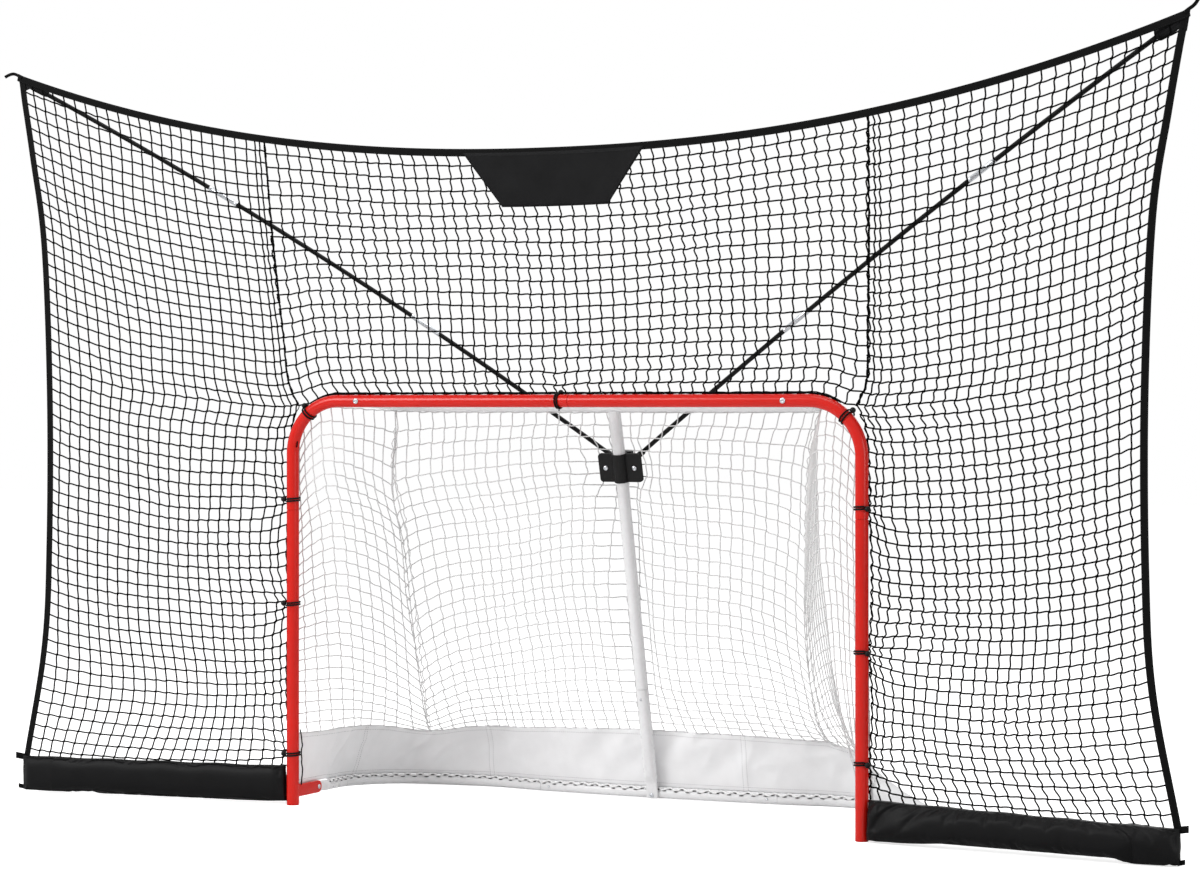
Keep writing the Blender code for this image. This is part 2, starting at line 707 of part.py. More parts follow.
def back_post(rear):
    """The back post in two tubes, pressed flat and bolted at the base, shaped to the rail on top."""
    foot = back_post_point(base_height(BASE_MIDDLE_BACK))
    seam = back_post_point(BACK_POST_SEAM_HEIGHT)
    up = (seam - foot).normalized()
    facing = Vector((0, -up.z, up.y))
    end = foot - up * PRESSED_TO_BOLT
    stations = [0.0, PRESSED_LENGTH, PRESSED_LENGTH + PRESSED_BLEND / 2, PRESSED_LENGTH + PRESSED_BLEND]
    path = [end + up * station for station in stations] + [seam]
    mesh = tube_mesh("back_post_lower", path, BACK_TUBE)
    press_flat(mesh, end, -up, facing, BACK_TUBE)
    lower = add_part("back_post_lower", mesh, WHITE_COAT)
    open_socket(lower, seam, up, BACK_TUBE)

    knee = Vector((0, *BACK_POST_KNEE))
    top = back_post_point(rail_height(RAIL_BACK) - BACK_POST_COPE)
    below, above = KNEE_BEND_SHARES
    bend = smooth_path([seam.lerp(knee, below), knee, knee.lerp(top, above)], 2)
    path, radii = spigot([top, *bend[::-1], seam], BACK_TUBE)
    upper = add_part("back_post_upper", tube_mesh("back_post_upper", path, BACK_TUBE, radii), WHITE_COAT)
    cope = Vector((BACK_TUBE, RAIL_BACK, rail_height(RAIL_BACK)))
    drill(upper, mirrored(cope, -1), cope, bore_radius(WHITE_TUBE / 2, COPE_SIDES), sides=COPE_SIDES)
    snap_button("snap_button_post", lower, upper, seam - up * BUTTON_FROM_SEAM, facing, BACK_TUBE)

    tube = Vector((0, BASE_MIDDLE_BACK, base_height(BASE_MIDDLE_BACK)))
    depth = (tube - foot).dot(-facing)
    centre = tube + facing * depth
    reach = WHITE_TUBE / 2 + FIT * 2
    for part in (lower, rear):
        drill(part, centre + facing * WHITE_TUBE, tube - facing * WHITE_TUBE, bore_radius(BOLT_SHANK / 2))
    head = centre + facing * (PRESSED_THICKNESS / 2 + FIT)
    grip = PRESSED_THICKNESS / 2 + FIT + depth + reach
    bolt("post_foot_bolt", head, facing, BOLT_HEAD, grip)


def bracket_frame():
    """Turns the bracket's own axes, Z up the back post and Y to its rear, to the goal's."""
    place = back_post_point(BRACKET_HEIGHT_AT)
    knee = Vector((0, *BACK_POST_KNEE))
    up = (back_post_point(rail_height(RAIL_BACK)) - knee).normalized()
    return Matrix.Translation(place) @ Matrix.Rotation(math.atan2(-up.y, up.z), 4, "X")


def half_clamp(name, side, frame):
    """Half of the clamp: two flanges with rounded corners and a half-round saddle over the post."""
    inner = BACK_TUBE / 2 + FIT * 2.5
    outer = inner + BRACKET_WALL
    near = BRACKET_SPLIT / 2
    far = near + BRACKET_WALL
    half = BRACKET_WIDTH / 2
    low = math.degrees(math.asin(near / inner))
    high = math.degrees(math.asin(far / outer))
    outline = [(half, near), *arc((0, 0), inner, low, 180 - low, ARC_STEPS), (-half, near)]
    outline += [(-half, far), *arc((0, 0), outer, 180 - high, high, ARC_STEPS), (half, far)]
    outline = [(x, y * side) for x, y in outline]
    piece = add_part(name, plate_mesh(name, outline, BRACKET_TALL), BLACK_PLASTIC)
    label = f"{name}_corners"
    across = Matrix.Rotation(math.pi / 2, 4, "X")
    corners = rounded_rectangle(BRACKET_WIDTH + FIT, BRACKET_TALL + FIT, BRACKET_CORNER)
    corners = add_helper(label, plate_mesh(label, corners, outer * 3, across))
    combine(piece, "INTERSECT", corners)
    for item in (piece, corners):
        item.matrix_local = frame
    return piece


def box_mesh(name, low, high):
    work = bmesh.new()
    bmesh.ops.create_cube(work, size=1.0)
    low, high = Vector(low), Vector(high)
    for vertex in work.verts:
        vertex.co = (low + high) / 2 + Vector(a * b for a, b in zip(vertex.co, high - low))
    return mesh_from(name, work)


def pole_point(share, side=1):
    """A point of the bowed pole, from its foot in the bracket (0) to its tip (1)."""
    foot, tip, bow = Vector(POLE_FOOT), Vector(POLE_TIP), Vector(POLE_BOW)
    return mirrored(foot.lerp(tip, share) + bow * 4 * share * (1 - share), side)


def pole_heading(share, side):
    foot, tip, bow = Vector(POLE_FOOT), Vector(POLE_TIP), Vector(POLE_BOW)
    return mirrored(tip - foot + bow * 4 * (1 - 2 * share), side).normalized()


def pole_bracket():
    """The black clamp on the back post: two halves, their screws, and a socket for each pole."""
    frame = bracket_frame()
    front = half_clamp("bracket_front", -1, frame)
    rear = half_clamp("bracket_rear", 1, frame)
    far = BRACKET_SPLIT / 2 + BRACKET_WALL
    rib_back = (frame.inverted() @ Vector(POLE_FOOT)).y
    half = BRACKET_RIB_WIDTH / 2
    rib_front = BACK_TUBE / 2 + BRACKET_WALL / 2
    rib = box_mesh("bracket_rib", (-half, rib_front, BRACKET_RIB_LOW), (half, rib_back, BRACKET_TALL / 2))
    rib = add_helper("bracket_rib", rib)
    rib.matrix_local = frame
    combine(rear, "UNION", rib)
    outside = POLE / 2 + FIT + POLE_SOCKET_WALL
    sockets = []
    for side, name in ((-1, "left"), (1, "right")):
        foot = pole_point(0, side)
        ahead = pole_heading(0, side)
        path = [foot - ahead * POLE_SOCKET_FLOOR, foot + ahead * POLE_SOCKET]
        label = f"pole_socket_{name}"
        combine(rear, "UNION", add_helper(label, tube_mesh(label, path, outside * 2)))
        sockets.append((foot, ahead))
    for foot, ahead in sockets:
        drill(rear, foot - ahead * FIT, foot + ahead * (POLE_SOCKET + CUT_PAST), bore_radius(POLE / 2))
    grip = far * 2
    for side, name in ((-1, "left"), (1, "right")):
        across = Vector((BRACKET_SCREW * side, 0, 0))
        for piece in (front, rear):
            ends = [frame @ (across + Vector((0, y, 0))) for y in (-far - CUT_PAST, far + CUT_PAST)]
            drill(piece, *ends, bore_radius(BOLT_SHANK / 2))
        facing = frame.to_3x3() @ Vector((0, -1, 0))
        seat = frame @ (across + Vector((0, -far - FIT, 0)))
        bolt(f"bracket_screw_{name}", seat, facing, BRACKET_SCREW_HEAD, grip + FIT * 2)


def poles():
    """Each pole: three black fibreglass sections, joined by two bright ferrules."""
    length = (pole_point(1) - pole_point(0)).length
    inside = FERRULE_LENGTH / 2 / length
    shares = [0.0, *POLE_JOINT_SHARES, 1.0]
    for side, name in ((-1, "left"), (1, "right")):
        for index, (start, end) in enumerate(zip(shares, shares[1:])):
            first = start + (FIT / length if index else 0)
            last = end - (FIT / length if index < 2 else 0)
            stations = [first + (last - first) * f for f in even_lines(POLE_STEPS)]
            if index:
                stations.insert(1, start + inside)
            if index < 2:
                stations.insert(-1, end - inside)
            label = f"pole_{name}_{index + 1}"
            path = [pole_point(share, side) for share in stations]
            add_part(label, tube_mesh(label, path, POLE, sides=POLE_SIDES), BLACK_PLASTIC)
        for index, share in enumerate(POLE_JOINT_SHARES):
            label = f"ferrule_{name}_{index + 1}"
            ends = [pole_point(share - inside, side), pole_point(share + inside, side)]
            bore = bore_radius(POLE / 2, fit=FIT * 1.5)
            sleeve = tube_mesh(label, ends, (bore + FERRULE_WALL) * 2)
            sleeve = add_part(label, sleeve, STEEL)
            ahead = (ends[1] - ends[0]).normalized() * CUT_PAST
            drill(sleeve, ends[0] - ahead, ends[1] + ahead, bore)


def backstop_y(x, z):
    """How far the backstop leans out in front of the mouth's plane, from the frame outwards."""
    beside = max(abs(x) - POST_X - RED_TUBE / 2, 0.0)
    above = max(z - CROSSBAR_Z - RED_TUBE / 2, 0.0)
    share = min(math.hypot(beside, above) / BACKSTOP_REACH, 1.0)
    return -BACKSTOP_FORWARD * share


def top_edge(x):
    rise = (CORNER_HEIGHT - TOP_MIDDLE_HEIGHT) * (abs(x) / CORNER_HALF) ** TOP_CURVE
    return TOP_MIDDLE_HEIGHT + rise


def top_strip(x_from, x_to, drop, count):
    """A path under the backstop's top edge, this far below it."""
    xs = [x_from + (x_to - x_from) * step / count for step in range(count + 1)]
    return [Vector((x, backstop_y(x, top_edge(x)), top_edge(x) - drop)) for x in xs]


def side_strip(side, inset):
    """A path down the backstop's side edge, this far inside it, to the skirt's top."""
    low = SKIRT_HEIGHT + SEWN_GAP
    outer = CORNER_HALF - inset
    points = [(outer - back, -BACKSTOP_FORWARD, CORNER_HEIGHT - down) for back, down in SIDE_EDGE]
    points += [(outer - SIDE_EDGE_FOOT_IN, -BACKSTOP_FORWARD, low)]
    return [mirrored(point, side) for point in smooth_path(points, SIDE_EDGE_STEPS)]


def ribbon(name, edge, other):
    """A strip of webbing between two paths that have as many points."""
    last = len(edge) - 1

    def surface(u, v):
        index = round(u * last)
        return edge[index].lerp(other[index], v)

    mesh = mapped_grid(name, even_lines(last), even_lines(1), surface)
    thicken(add_part(name, mesh, BLACK_FABRIC), WEBBING_THICKNESS)


def webbing_borders():
    """The black webbing sewn along the top and down both sides of the backstop."""
    upper = top_strip(-CORNER_HALF, CORNER_HALF, 0, BORDER_STEPS)
    lower = [Vector((x, backstop_y(x, z - WEBBING), z - WEBBING)) for x, _, z in upper]
    ribbon("border_top", upper, lower)
    for side, name in ((-1, "left"), (1, "right")):
        outer = side_strip(side, 0)
        inner = side_strip(side, WEBBING)
        for path in (outer, inner):
            path[0].z = top_edge(path[0].x) - WEBBING - SEWN_GAP
        ribbon(f"border_{name}", outer, inner)


def backstop_net(name, edges, gaps):
    """A panel of the black net, which lies against the back of the webbing."""
    held = stretched(*edges)

    def surface(u, v):
        point = held(u, v)
        return Vector((point.x, backstop_y(point.x, point.z) + NET_BEHIND, point.z))

    size = max(path_lengths(edges[0])[-1], path_lengths(edges[1])[-1]), path_lengths(edges[2])[-1]
    net(name, surface, gaps, [BLACK_STRAND / length for length in size], BLACK_CORD)


def backstop_nets():
    """The black net in three panels, sewn together above the posts."""
    drop = WEBBING / 2
    low = CROSSBAR_Z + RED_TUBE / 2 + NET_TO_FRAME
    beside = POST_X + RED_TUBE / 2 + NET_TO_FRAME
    foot = SKIRT_HEIGHT + SEWN_GAP
    for side, name in ((-1, "left"), (1, "right")):
        outer = side_strip(side, WEBBING / 2)
        outer[0].z = top_edge(outer[0].x) - drop
        seam = [(SEAM_TOP, 0, top_edge(SEAM_TOP) - drop), (SEAM_LOW + SEAM_APART, 0, low)]
        seam.append((beside, 0, low - SEAM_DROP))
        seam = smooth_path([*seam, (beside, 0, foot)], PATH_STEPS)
        inner = [mirrored(point, side) for point in seam]
        top = [inner[0], *top_strip(inner[0].x, outer[0].x, drop, WING_STEPS)[1:-1], outer[0]]
        backstop_net(f"net_wing_{name}", (top, [inner[-1], outer[-1]], inner, outer), WING_GAPS)
    high = SEAM_TOP - SEWN_GAP
    left = [Vector((-high, 0, top_edge(high) - drop)), Vector((-SEAM_LOW, 0, low))]
    right = [mirrored(point, -1) for point in left]
    top = [left[0], *top_strip(-high, high, drop, CENTRE_STEPS)[1:-1], right[0]]
    backstop_net("net_centre", (top, [left[-1], right[-1]], left, right), CENTRE_GAPS)


def banner():
    """The plain black panel sewn under the middle of the top border."""
    forward = (WEBBING_THICKNESS + BANNER_THICKNESS) / 2 + FIT

    def surface(u, v):
        half = (BANNER_TOP + (BANNER_LOW - BANNER_TOP) * v) / 2
        x = half * (2 * u - 1)
        z = top_edge(x) - WEBBING / 2 - BANNER_TALL * v
        return Vector((x, backstop_y(x, z) - forward, z))

    across, down = (even_lines(cells) for cells in BANNER_CELLS)
    mesh = mapped_grid("banner", across, down, surface)
    thicken(add_part("banner", mesh, BLACK_FABRIC), BANNER_THICKNESS)


def skirt_cage(name, side):
    """The coarse cage of a skirt: swollen between creases and drawn in at its ends."""
    work = bmesh.new()
    bmesh.ops.create_cube(work, size=1.0)
    for axis, cuts in ((0, SKIRT_CREASES * 2), (2, 1)):
        edges = [edge for edge in work.edges if abs(edge.verts[0].co[axis] - edge.verts[1].co[axis]) > 0.5]
        bmesh.ops.subdivide_edges(work, edges=edges, cuts=cuts)
    for vertex in work.verts:
        share = vertex.co.x + 0.5
        puff = 1.0 + SKIRT_PUFF_SHARE * math.cos(share * math.pi * 2 * SKIRT_CREASES)
        if min(share, 1 - share) < NEAR:
            puff = SKIRT_END_SHARE
        full = SKIRT_SWELL_FACTOR if abs(vertex.co.z) < NEAR else SKIRT_HEM_FACTOR
        x = SKIRT_INNER + (CORNER_HALF - SKIRT_INNER) * share
        y = backstop_y(x, 0) + vertex.co.y * SKIRT_DEPTH * puff * full
        vertex.co = (x * side, y, SKIRT_HEIGHT * (0.5 + vertex.co.z * SKIRT_RISE_FACTOR))
    return mesh_from(name, work)


def skirts():
    """The two padded black skirts that weigh the backstop down beside the goal."""
    for side, name in ((-1, "left"), (1, "right")):
        skirt = add_part(f"skirt_{name}", skirt_cage(f"skirt_{name}", side), BLACK_FABRIC)
        soft = skirt.modifiers.new("soft", "SUBSURF")
        soft.levels = 1
        soft.render_levels = 1
        for label, low, high in (("floor", -SKIRT_HEIGHT, 0.0), ("top", SKIRT_HEIGHT, SKIRT_HEIGHT * 2)):
            flat = f"skirt_{label}_{name}"
            half = CORNER_HALF + SKIRT_DEPTH
            box = box_mesh(flat, (-half, -BACKSTOP_REACH, low), (half, BACKSTOP_REACH, high))
            combine(skirt, "DIFFERENCE", add_helper(flat, box))


def corner_pockets():
    """The sewn pocket at each upper corner that holds a pole's tip, with its webbing tail."""
    for side, name in ((-1, "left"), (1, "right")):
        tip = pole_point(1, side)
        heading = pole_heading(1, side)
        ahead = Vector((heading.x, 0, heading.z)).normalized()
        half = POCKET_WIDTH / 2
        tail = TAIL_WIDTH / 2
        outline = [(POCKET_END - POCKET_LENGTH, -half * POCKET_FOOT_SHARE)]
        outline += [(POCKET_END * POCKET_SHOULDER_SHARE, -half), (POCKET_END, -tail)]
        outline.append((POCKET_END + TAIL_LENGTH, -tail))
        outline += [(x, -y) for x, y in reversed(outline)]
        frame = Matrix((ahead, (-ahead.z, 0, ahead.x), (0, -1, 0))).transposed().to_4x4()
        frame.translation = tip
        label = f"corner_pocket_{name}"
        pocket = add_part(label, plate_mesh(label, outline, POCKET_DEPTH, frame), BLACK_FABRIC)
        bore = bore_radius(POLE / 2, fit=FIT * 3)
        drill(pocket, tip + heading * FIT, tip - heading * POCKET_LENGTH, bore)


def ball_tie(name, centre, axis, outward, spacing):
    """An elastic cord wound twice round a tube, both ends in a ball. Returns its least gap."""
    axis, outward = Vector(axis).normalized(), Vector(outward).normalized()
    round_way = axis.cross(outward)
    radius = (RED_TUBE / 2 + FIT + TIE_CORD / 2) / math.cos(math.pi / TIE_STEPS)
    ball = centre + outward * (RED_TUBE / 2 + FIT * 2 + TIE_BALL / 2)
    loops = []
    for step in range(1, 2 * TIE_STEPS):
        angle = 2 * math.pi * step / TIE_STEPS
        lift = axis * spacing * (step / TIE_STEPS - 1)
        loops.append(centre + lift + radius * (outward * math.cos(angle) + round_way * math.sin(angle)))
    path = [ball - axis * TIE_END_APART, *loops, ball + axis * TIE_END_APART]
    tie = add_part(name, tube_mesh(name, path, TIE_CORD, sides=CORD_SIDES), BLACK_CORD)
    work = bmesh.new()
    bmesh.ops.create_icosphere(work, subdivisions=2, radius=TIE_BALL / 2)
    bmesh.ops.translate(work, verts=work.verts, vec=ball)
    combine(tie, "UNION", add_helper(f"{name}_ball", mesh_from(f"{name}_ball", work)))
    apart = [(a - b).length for i, a in enumerate(loops) for b in loops[i + TIE_STEPS // 2 :]]
    return min(apart) - TIE_CORD


def ball_ties():
    gaps = []
    for side, name, heights in ((-1, "left", LEFT_TIES), (1, "right", RIGHT_TIES)):
        for index, height in enumerate(heights):
            label = f"ball_tie_{name}_{index + 1}"
            centre = Vector((POST_X * side, 0, height))
            gaps.append(ball_tie(label, centre, (0, 0, 1), mirrored(TIE_OUTWARD, side), TIE_SPACING))
        reach = CORNER_RADIUS * math.sqrt(0.5) - CORNER_RADIUS
        bend = Vector(((POST_X + reach) * side, 0, CROSSBAR_Z + reach))
        label = f"ball_tie_bend_{name}"
        gaps.append(ball_tie(label, bend, (side, 0, -1), (side, 0, 1), BEND_TIE_SPACING))
    middle = Vector((CROSSBAR_TIE, 0, CROSSBAR_Z))
    gaps.append(ball_tie("ball_tie_crossbar", middle, (1, 0, 0), CROSSBAR_TIE_OUTWARD, TIE_SPACING))
    print(f"least gap between the turns of a tie: {min(gaps) * 1000:.2f} mm")


def base_line():
    """The base's centreline from ear to ear, as one path of points."""
    left = base_side_path(-1)
    rear = base_rear_path()
    right = base_side_path(1)
    return [*left[3:-1], *rear, *right[3:-1][::-1]]


def band_edge(height):
    """The goal net's fabric band at this share of its height, from post to post."""
    ear_top = EAR_HEIGHT + WHITE_TUBE / 2 * PRESSED_SPREAD_FACTOR + FIT * 4
    line = [Vector((PRESSED_X, y, ear_top)) for y in (NET_FRONT, BAND_EAR_END)]
    path = [mirrored(point, -1) for point in line] + base_line() + line[::-1]
    lengths = path_lengths(path)
    edge = []
    for index, point in enumerate(path):
        before, after = path[max(index - 1, 0)], path[min(index + 1, len(path) - 1)]
        run = (after - before).normalized()
        inward = Vector((run.y, -run.x, 0)).normalized()
        bottom = ear_top if point.y < PRESSED_END + CUT_PAST else point.z + WHITE_TUBE / 2 + FIT
        leaning = (point.y - BAND_UPRIGHT_TO) / (BAND_LEAN_FROM - BAND_UPRIGHT_TO)
        lean = BAND_LEAN * min(max(leaning, 0.0), 1.0)
        turns = 2 * math.pi * BAND_FOLDS * lengths[index] / lengths[-1]
        fold = BAND_FOLD * (1 - math.cos(turns)) / 2 * height
        z = bottom + (BAND_TOP - bottom) * height
        shift = inward * ((z - bottom) * lean - fold)
        edge.append(Vector((point.x + shift.x, point.y + shift.y, z)))
    return edge


def goal_band():
    """The pale fabric band along the foot of the goal net."""
    rows = [band_edge(share) for share in (1.0, 0.5, 0.0)]
    last = len(rows[0]) - 1

    def surface(u, v):
        return rows[round(v * 2)][round(u * last)]

    band = mapped_grid("net_band", even_lines(last), even_lines(2), surface)
    thicken(add_part("net_band", band, GREY_FABRIC), BAND_THICKNESS)


def hem_cord():
    """The lacing cord that waves along the top of the base tube and ties the hem down."""
    line = base_line()
    count = HEM_WAVES * 4
    away = (WHITE_TUBE + HEM_CORD) / 2 + FIT * 2
    path = []
    for step in range(count + 1):
        point, run = along(line, step / count)
        inward = Vector((run.y, -run.x, 0)).normalized()
        tilt = math.radians(HEM_TILT + HEM_SWAY * math.sin(math.pi * step / 2))
        path.append(point + inward * away * math.sin(tilt) + Vector((0, 0, away * math.cos(tilt))))
    add_part("hem_cord", tube_mesh("hem_cord", path, HEM_CORD, sides=CORD_SIDES), WHITE_CORD)


def goal_net(name, edges, gaps):
    """A panel of the white net, held along its top, bottom, left and right paths."""
    size = [max(path_lengths(a)[-1], path_lengths(b)[-1]) for a, b in (edges[:2], edges[2:])]
    net(name, stretched(*edges), gaps, [WHITE_STRAND / length for length in size], WHITE_CORD)


def goal_nets():
    """The white net in four panels: back, two sides and top."""
    above = Vector((0, 0, SEWN_GAP))
    edge = [point + above for point in band_edge(1.0)]
    corner = min(range(len(edge) // 2), key=lambda i: abs(edge[i].x + NET_CORNER))
    under = WHITE_TUBE / 2 + NET_THICKNESS + FIT
    bend = RAIL_RADIUS * (1 - math.sqrt(0.5))
    plan = [(RAIL_BOLT, NET_FRONT), (RAIL_HALF, RAIL_BACK - RAIL_RADIUS)]
    plan.append((RAIL_HALF - bend, RAIL_BACK - bend))
    plan.append((RAIL_HALF - NET_STRAIGHT_FROM, RAIL_BACK + BACK_TUBE / 2 + NET_BEHIND_POST))
    start, turn, seam, straight = (Vector((x, y, rail_height(y) - under)) for x, y in plan)
    back = [mirrored(seam, -1), mirrored(straight, -1), straight, seam]

    def hanging(start, end):
        shares = even_lines(SAG_STEPS)
        bulge = [Vector((0, NET_BULGE * 4 * f * (1 - f), 0)) for f in shares]
        return [start.lerp(end, f) + out for f, out in zip(shares, bulge)]

    bottom = edge[corner : len(edge) - corner]
    left, right = hanging(back[0], bottom[0]), hanging(back[-1], bottom[-1])
    goal_net("goal_net_back", (back, bottom, left, right), BACK_GAPS)

    bend = CORNER_RADIUS * (1 - math.sqrt(0.5))
    for side, name, rear in ((-1, "left", left), (1, "right", right)):
        apart = Vector((SEWN_GAP * 2 * side, 0, 0))
        rear = [point + apart for point in rear]
        top = [mirrored(start, side), mirrored(turn, side), rear[0]]
        low = edge[:corner] if side < 0 else edge[: -corner - 1 : -1]
        front = [top[0], mirrored((POST_X - bend, NET_FRONT, CROSSBAR_Z - bend), side)]
        for height in (CROSSBAR_Z - CORNER_RADIUS, NET_POST_TOP):
            front.append(mirrored((PRESSED_X, NET_FRONT, height), side))
        goal_net(f"goal_net_{name}", (top, [*low, rear[-1]], [*front, low[0]], rear), SIDE_GAPS)

    over = Vector((0, 0, WHITE_TUBE / 2 + NET_THICKNESS / 2 + FIT))
    depths = (RAIL_BACK + WHITE_TUBE / 2, NET_FRONT)
    top, bottom = ([Vector((x, y, rail_height(y))) + over for x in (-RAIL_HALF, RAIL_HALF)] for y in depths)
    goal_net("goal_net_top", (top, bottom, [top[0], bottom[0]], [top[1], bottom[1]]), TOP_GAPS)


def build():
    corner_tubes()
    lower_post(-1, "left")
    lower_post(1, "right")
    rear = base_tubes()
    top_rail()
    back_post(rear)
    pole_bracket()
    poles()
    webbing_borders()
    backstop_nets()
    banner()
    skirts()
    corner_pockets()
    ball_ties()
    goal_band()
    hem_cord()
    goal_nets()


build()
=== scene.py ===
import math

import bmesh
import bpy
import numpy as np
from mathutils import Matrix, Vector


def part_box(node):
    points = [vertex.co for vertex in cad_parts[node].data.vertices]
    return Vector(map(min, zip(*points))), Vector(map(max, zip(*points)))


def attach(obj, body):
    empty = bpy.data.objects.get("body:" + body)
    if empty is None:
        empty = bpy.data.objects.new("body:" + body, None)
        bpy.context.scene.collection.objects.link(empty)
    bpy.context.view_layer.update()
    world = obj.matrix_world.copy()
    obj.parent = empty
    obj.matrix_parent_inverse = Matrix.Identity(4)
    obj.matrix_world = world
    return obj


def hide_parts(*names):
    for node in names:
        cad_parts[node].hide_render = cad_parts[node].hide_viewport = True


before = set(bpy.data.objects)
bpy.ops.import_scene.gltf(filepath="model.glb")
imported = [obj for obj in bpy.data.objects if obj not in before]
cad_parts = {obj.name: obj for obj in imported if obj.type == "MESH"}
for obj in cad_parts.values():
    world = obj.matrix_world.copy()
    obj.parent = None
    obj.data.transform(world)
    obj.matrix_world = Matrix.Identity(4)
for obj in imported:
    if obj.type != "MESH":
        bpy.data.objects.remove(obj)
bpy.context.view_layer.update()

# Camera, at the photograph's viewpoint: 9.3 m off, as high as the crossbar, and 26 degrees round to
# the goal's right. The lens is shifted down instead of tilted, so that the posts stay upright.
PHOTO_SIZE = (1200, 871)
FOCAL_PIXELS = 3169
HORIZON_PIXEL = 408
CAMERA_AT = (4.180, -8.613, 1.217)
CAMERA_TURN = 26.04
SENSOR = 36.0

camera_data = bpy.data.cameras.new("camera")
camera_data.sensor_width = SENSOR
camera_data.lens = SENSOR * FOCAL_PIXELS / PHOTO_SIZE[0]
camera_data.shift_y = (HORIZON_PIXEL - PHOTO_SIZE[1] / 2) / PHOTO_SIZE[0]
camera = bpy.data.objects.new("camera", camera_data)
camera.location = CAMERA_AT
camera.rotation_euler = (math.pi / 2, 0, math.radians(CAMERA_TURN))
bpy.context.scene.collection.objects.link(camera)
bpy.context.scene.camera = camera
bpy.context.scene.view_settings.view_transform = "Standard"

# Studio: white paper on the floor and a white world, with four soft boxes. The world is white to
# the camera and in reflections, and lights the object more softly from all round.
FLOOR_SIDE = 60
WORLD_LIGHT = 0.42
FLOOR_GLOW = 0.66
# Each soft box: its place, its side in metres, its power in watts and what it is turned to.
SOFT_BOXES = {
    "key_box": ((-4.2, -5.6, 4.6), 3.4, 370, (0, 0, 0.9)),
    "side_box": ((6.2, -1.8, 2.0), 2.4, 70, (0, -0.3, 1.0)),
    "top_box": ((0.4, -0.8, 5.6), 2.6, 90, (0, -0.2, 1.0)),
    "back_box": ((0.6, 5.6, 4.6), 3.5, 90, (0, 0, 1.0)),
}


def linear(hex_colour):
    """An sRGB colour such as "C81E14" as the linear values that a shader takes."""
    channels = [int(hex_colour[start : start + 2], 16) / 255 for start in (0, 2, 4)]
    return (*[c / 12.92 if c <= 0.04045 else ((c + 0.055) / 1.055) ** 2.4 for c in channels], 1.0)


def add_node(tree, kind, inputs=None, **settings):
    """Adds a node. Its inputs are values or another node's sockets, and its settings are properties."""
    node = tree.nodes.new(kind)
    for key, value in settings.items():
        setattr(node, key, value)
    for key, value in (inputs or {}).items():
        if isinstance(value, bpy.types.NodeSocket):
            tree.links.new(value, node.inputs[key])
        else:
            node.inputs[key].default_value = value
    return node


world = bpy.data.worlds.new("studio")
world.use_nodes = True
bpy.context.scene.world = world
tree = world.node_tree
tree.nodes.clear()
rays = add_node(tree, "ShaderNodeLightPath").outputs
seen = add_node(tree, "ShaderNodeMath", {0: rays["Is Camera Ray"], 1: rays["Is Glossy Ray"]})
seen = add_node(tree, "ShaderNodeMath", {0: seen.outputs[0], 1: rays["Is Transmission Ray"]}, use_clamp=True)
soft = add_node(tree, "ShaderNodeBackground", {"Color": linear("FFFFFF"), "Strength": WORLD_LIGHT})
white = add_node(tree, "ShaderNodeBackground", {"Color": linear("FFFFFF"), "Strength": 1.0})
mixed = add_node(tree, "ShaderNodeMixShader", {0: seen.outputs[0], 1: soft.outputs[0], 2: white.outputs[0]})
add_node(tree, "ShaderNodeOutputWorld", {"Surface": mixed.outputs[0]})

for name, (place, size, watts, target) in SOFT_BOXES.items():
    box = bpy.data.lights.new(name, "AREA")
    box.size = size
    box.energy = watts
    lamp = bpy.data.objects.new(name, box)
    lamp.location = place
    lamp.rotation_euler = (Vector(target) - Vector(place)).to_track_quat("-Z", "Y").to_euler()
    lamp.visible_camera = False
    bpy.context.scene.collection.objects.link(lamp)

paper = bpy.data.materials.new("white_studio_paper")
paper.use_nodes = True
tree = paper.node_tree
tree.nodes.clear()
rays = add_node(tree, "ShaderNodeLightPath").outputs
lit = add_node(tree, "ShaderNodeBsdfDiffuse", {"Color": linear("F4F4F4")})
strength = add_node(tree, "ShaderNodeMath", {0: rays["Is Camera Ray"], 1: FLOOR_GLOW}, operation="MULTIPLY")
glow = add_node(tree, "ShaderNodeEmission", {"Color": linear("FFFFFF"), "Strength": strength.outputs[0]})
both = add_node(tree, "ShaderNodeAddShader", {0: lit.outputs[0], 1: glow.outputs[0]})
add_node(tree, "ShaderNodeOutputMaterial", {"Surface": both.outputs[0]})
bpy.ops.mesh.primitive_plane_add(size=FLOOR_SIDE)
floor = bpy.context.object
floor.name = "studio_floor"
floor.data.materials.append(paper)

# Red frame: 38 mm steel tube in four lengths, bent at the corners, its ends drawn in to plug into
# the next. A flattened ear is welded behind each foot, and a thin cap closes it. Powder coated.
MOUTH_WIDTH = 1.829
RED_TUBE = 0.038
TUBE_WALL = 0.0015
CORNER_RADIUS = 0.160
CROSSBAR_SEAM = 0.015
POST_SEAM_HEIGHT = 0.905
SEAM_GAP = 0.0012
RIM = 0.0007
SOCKET_DEPTH = 0.050
CAP_LIP = 0.0025
CAP_PLUG = 0.018
EAR_HEIGHT = 0.041
EAR_WIDTH = 0.038
EAR_THICKNESS = 0.009
EAR_ROUNDING = 0.0025
EAR_BOLT_BACK = 0.146
FIT = 0.0003
TUBE_SIDES = 36
POST_X = (MOUTH_WIDTH + RED_TUBE) / 2
CROSSBAR_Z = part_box("corner_tube_left")[1].z - RED_TUBE / 2
GOAL_LINE_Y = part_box("corner_tube_left")[0].y + RED_TUBE / 2
SIDES = ((-1, "left"), (1, "right"))


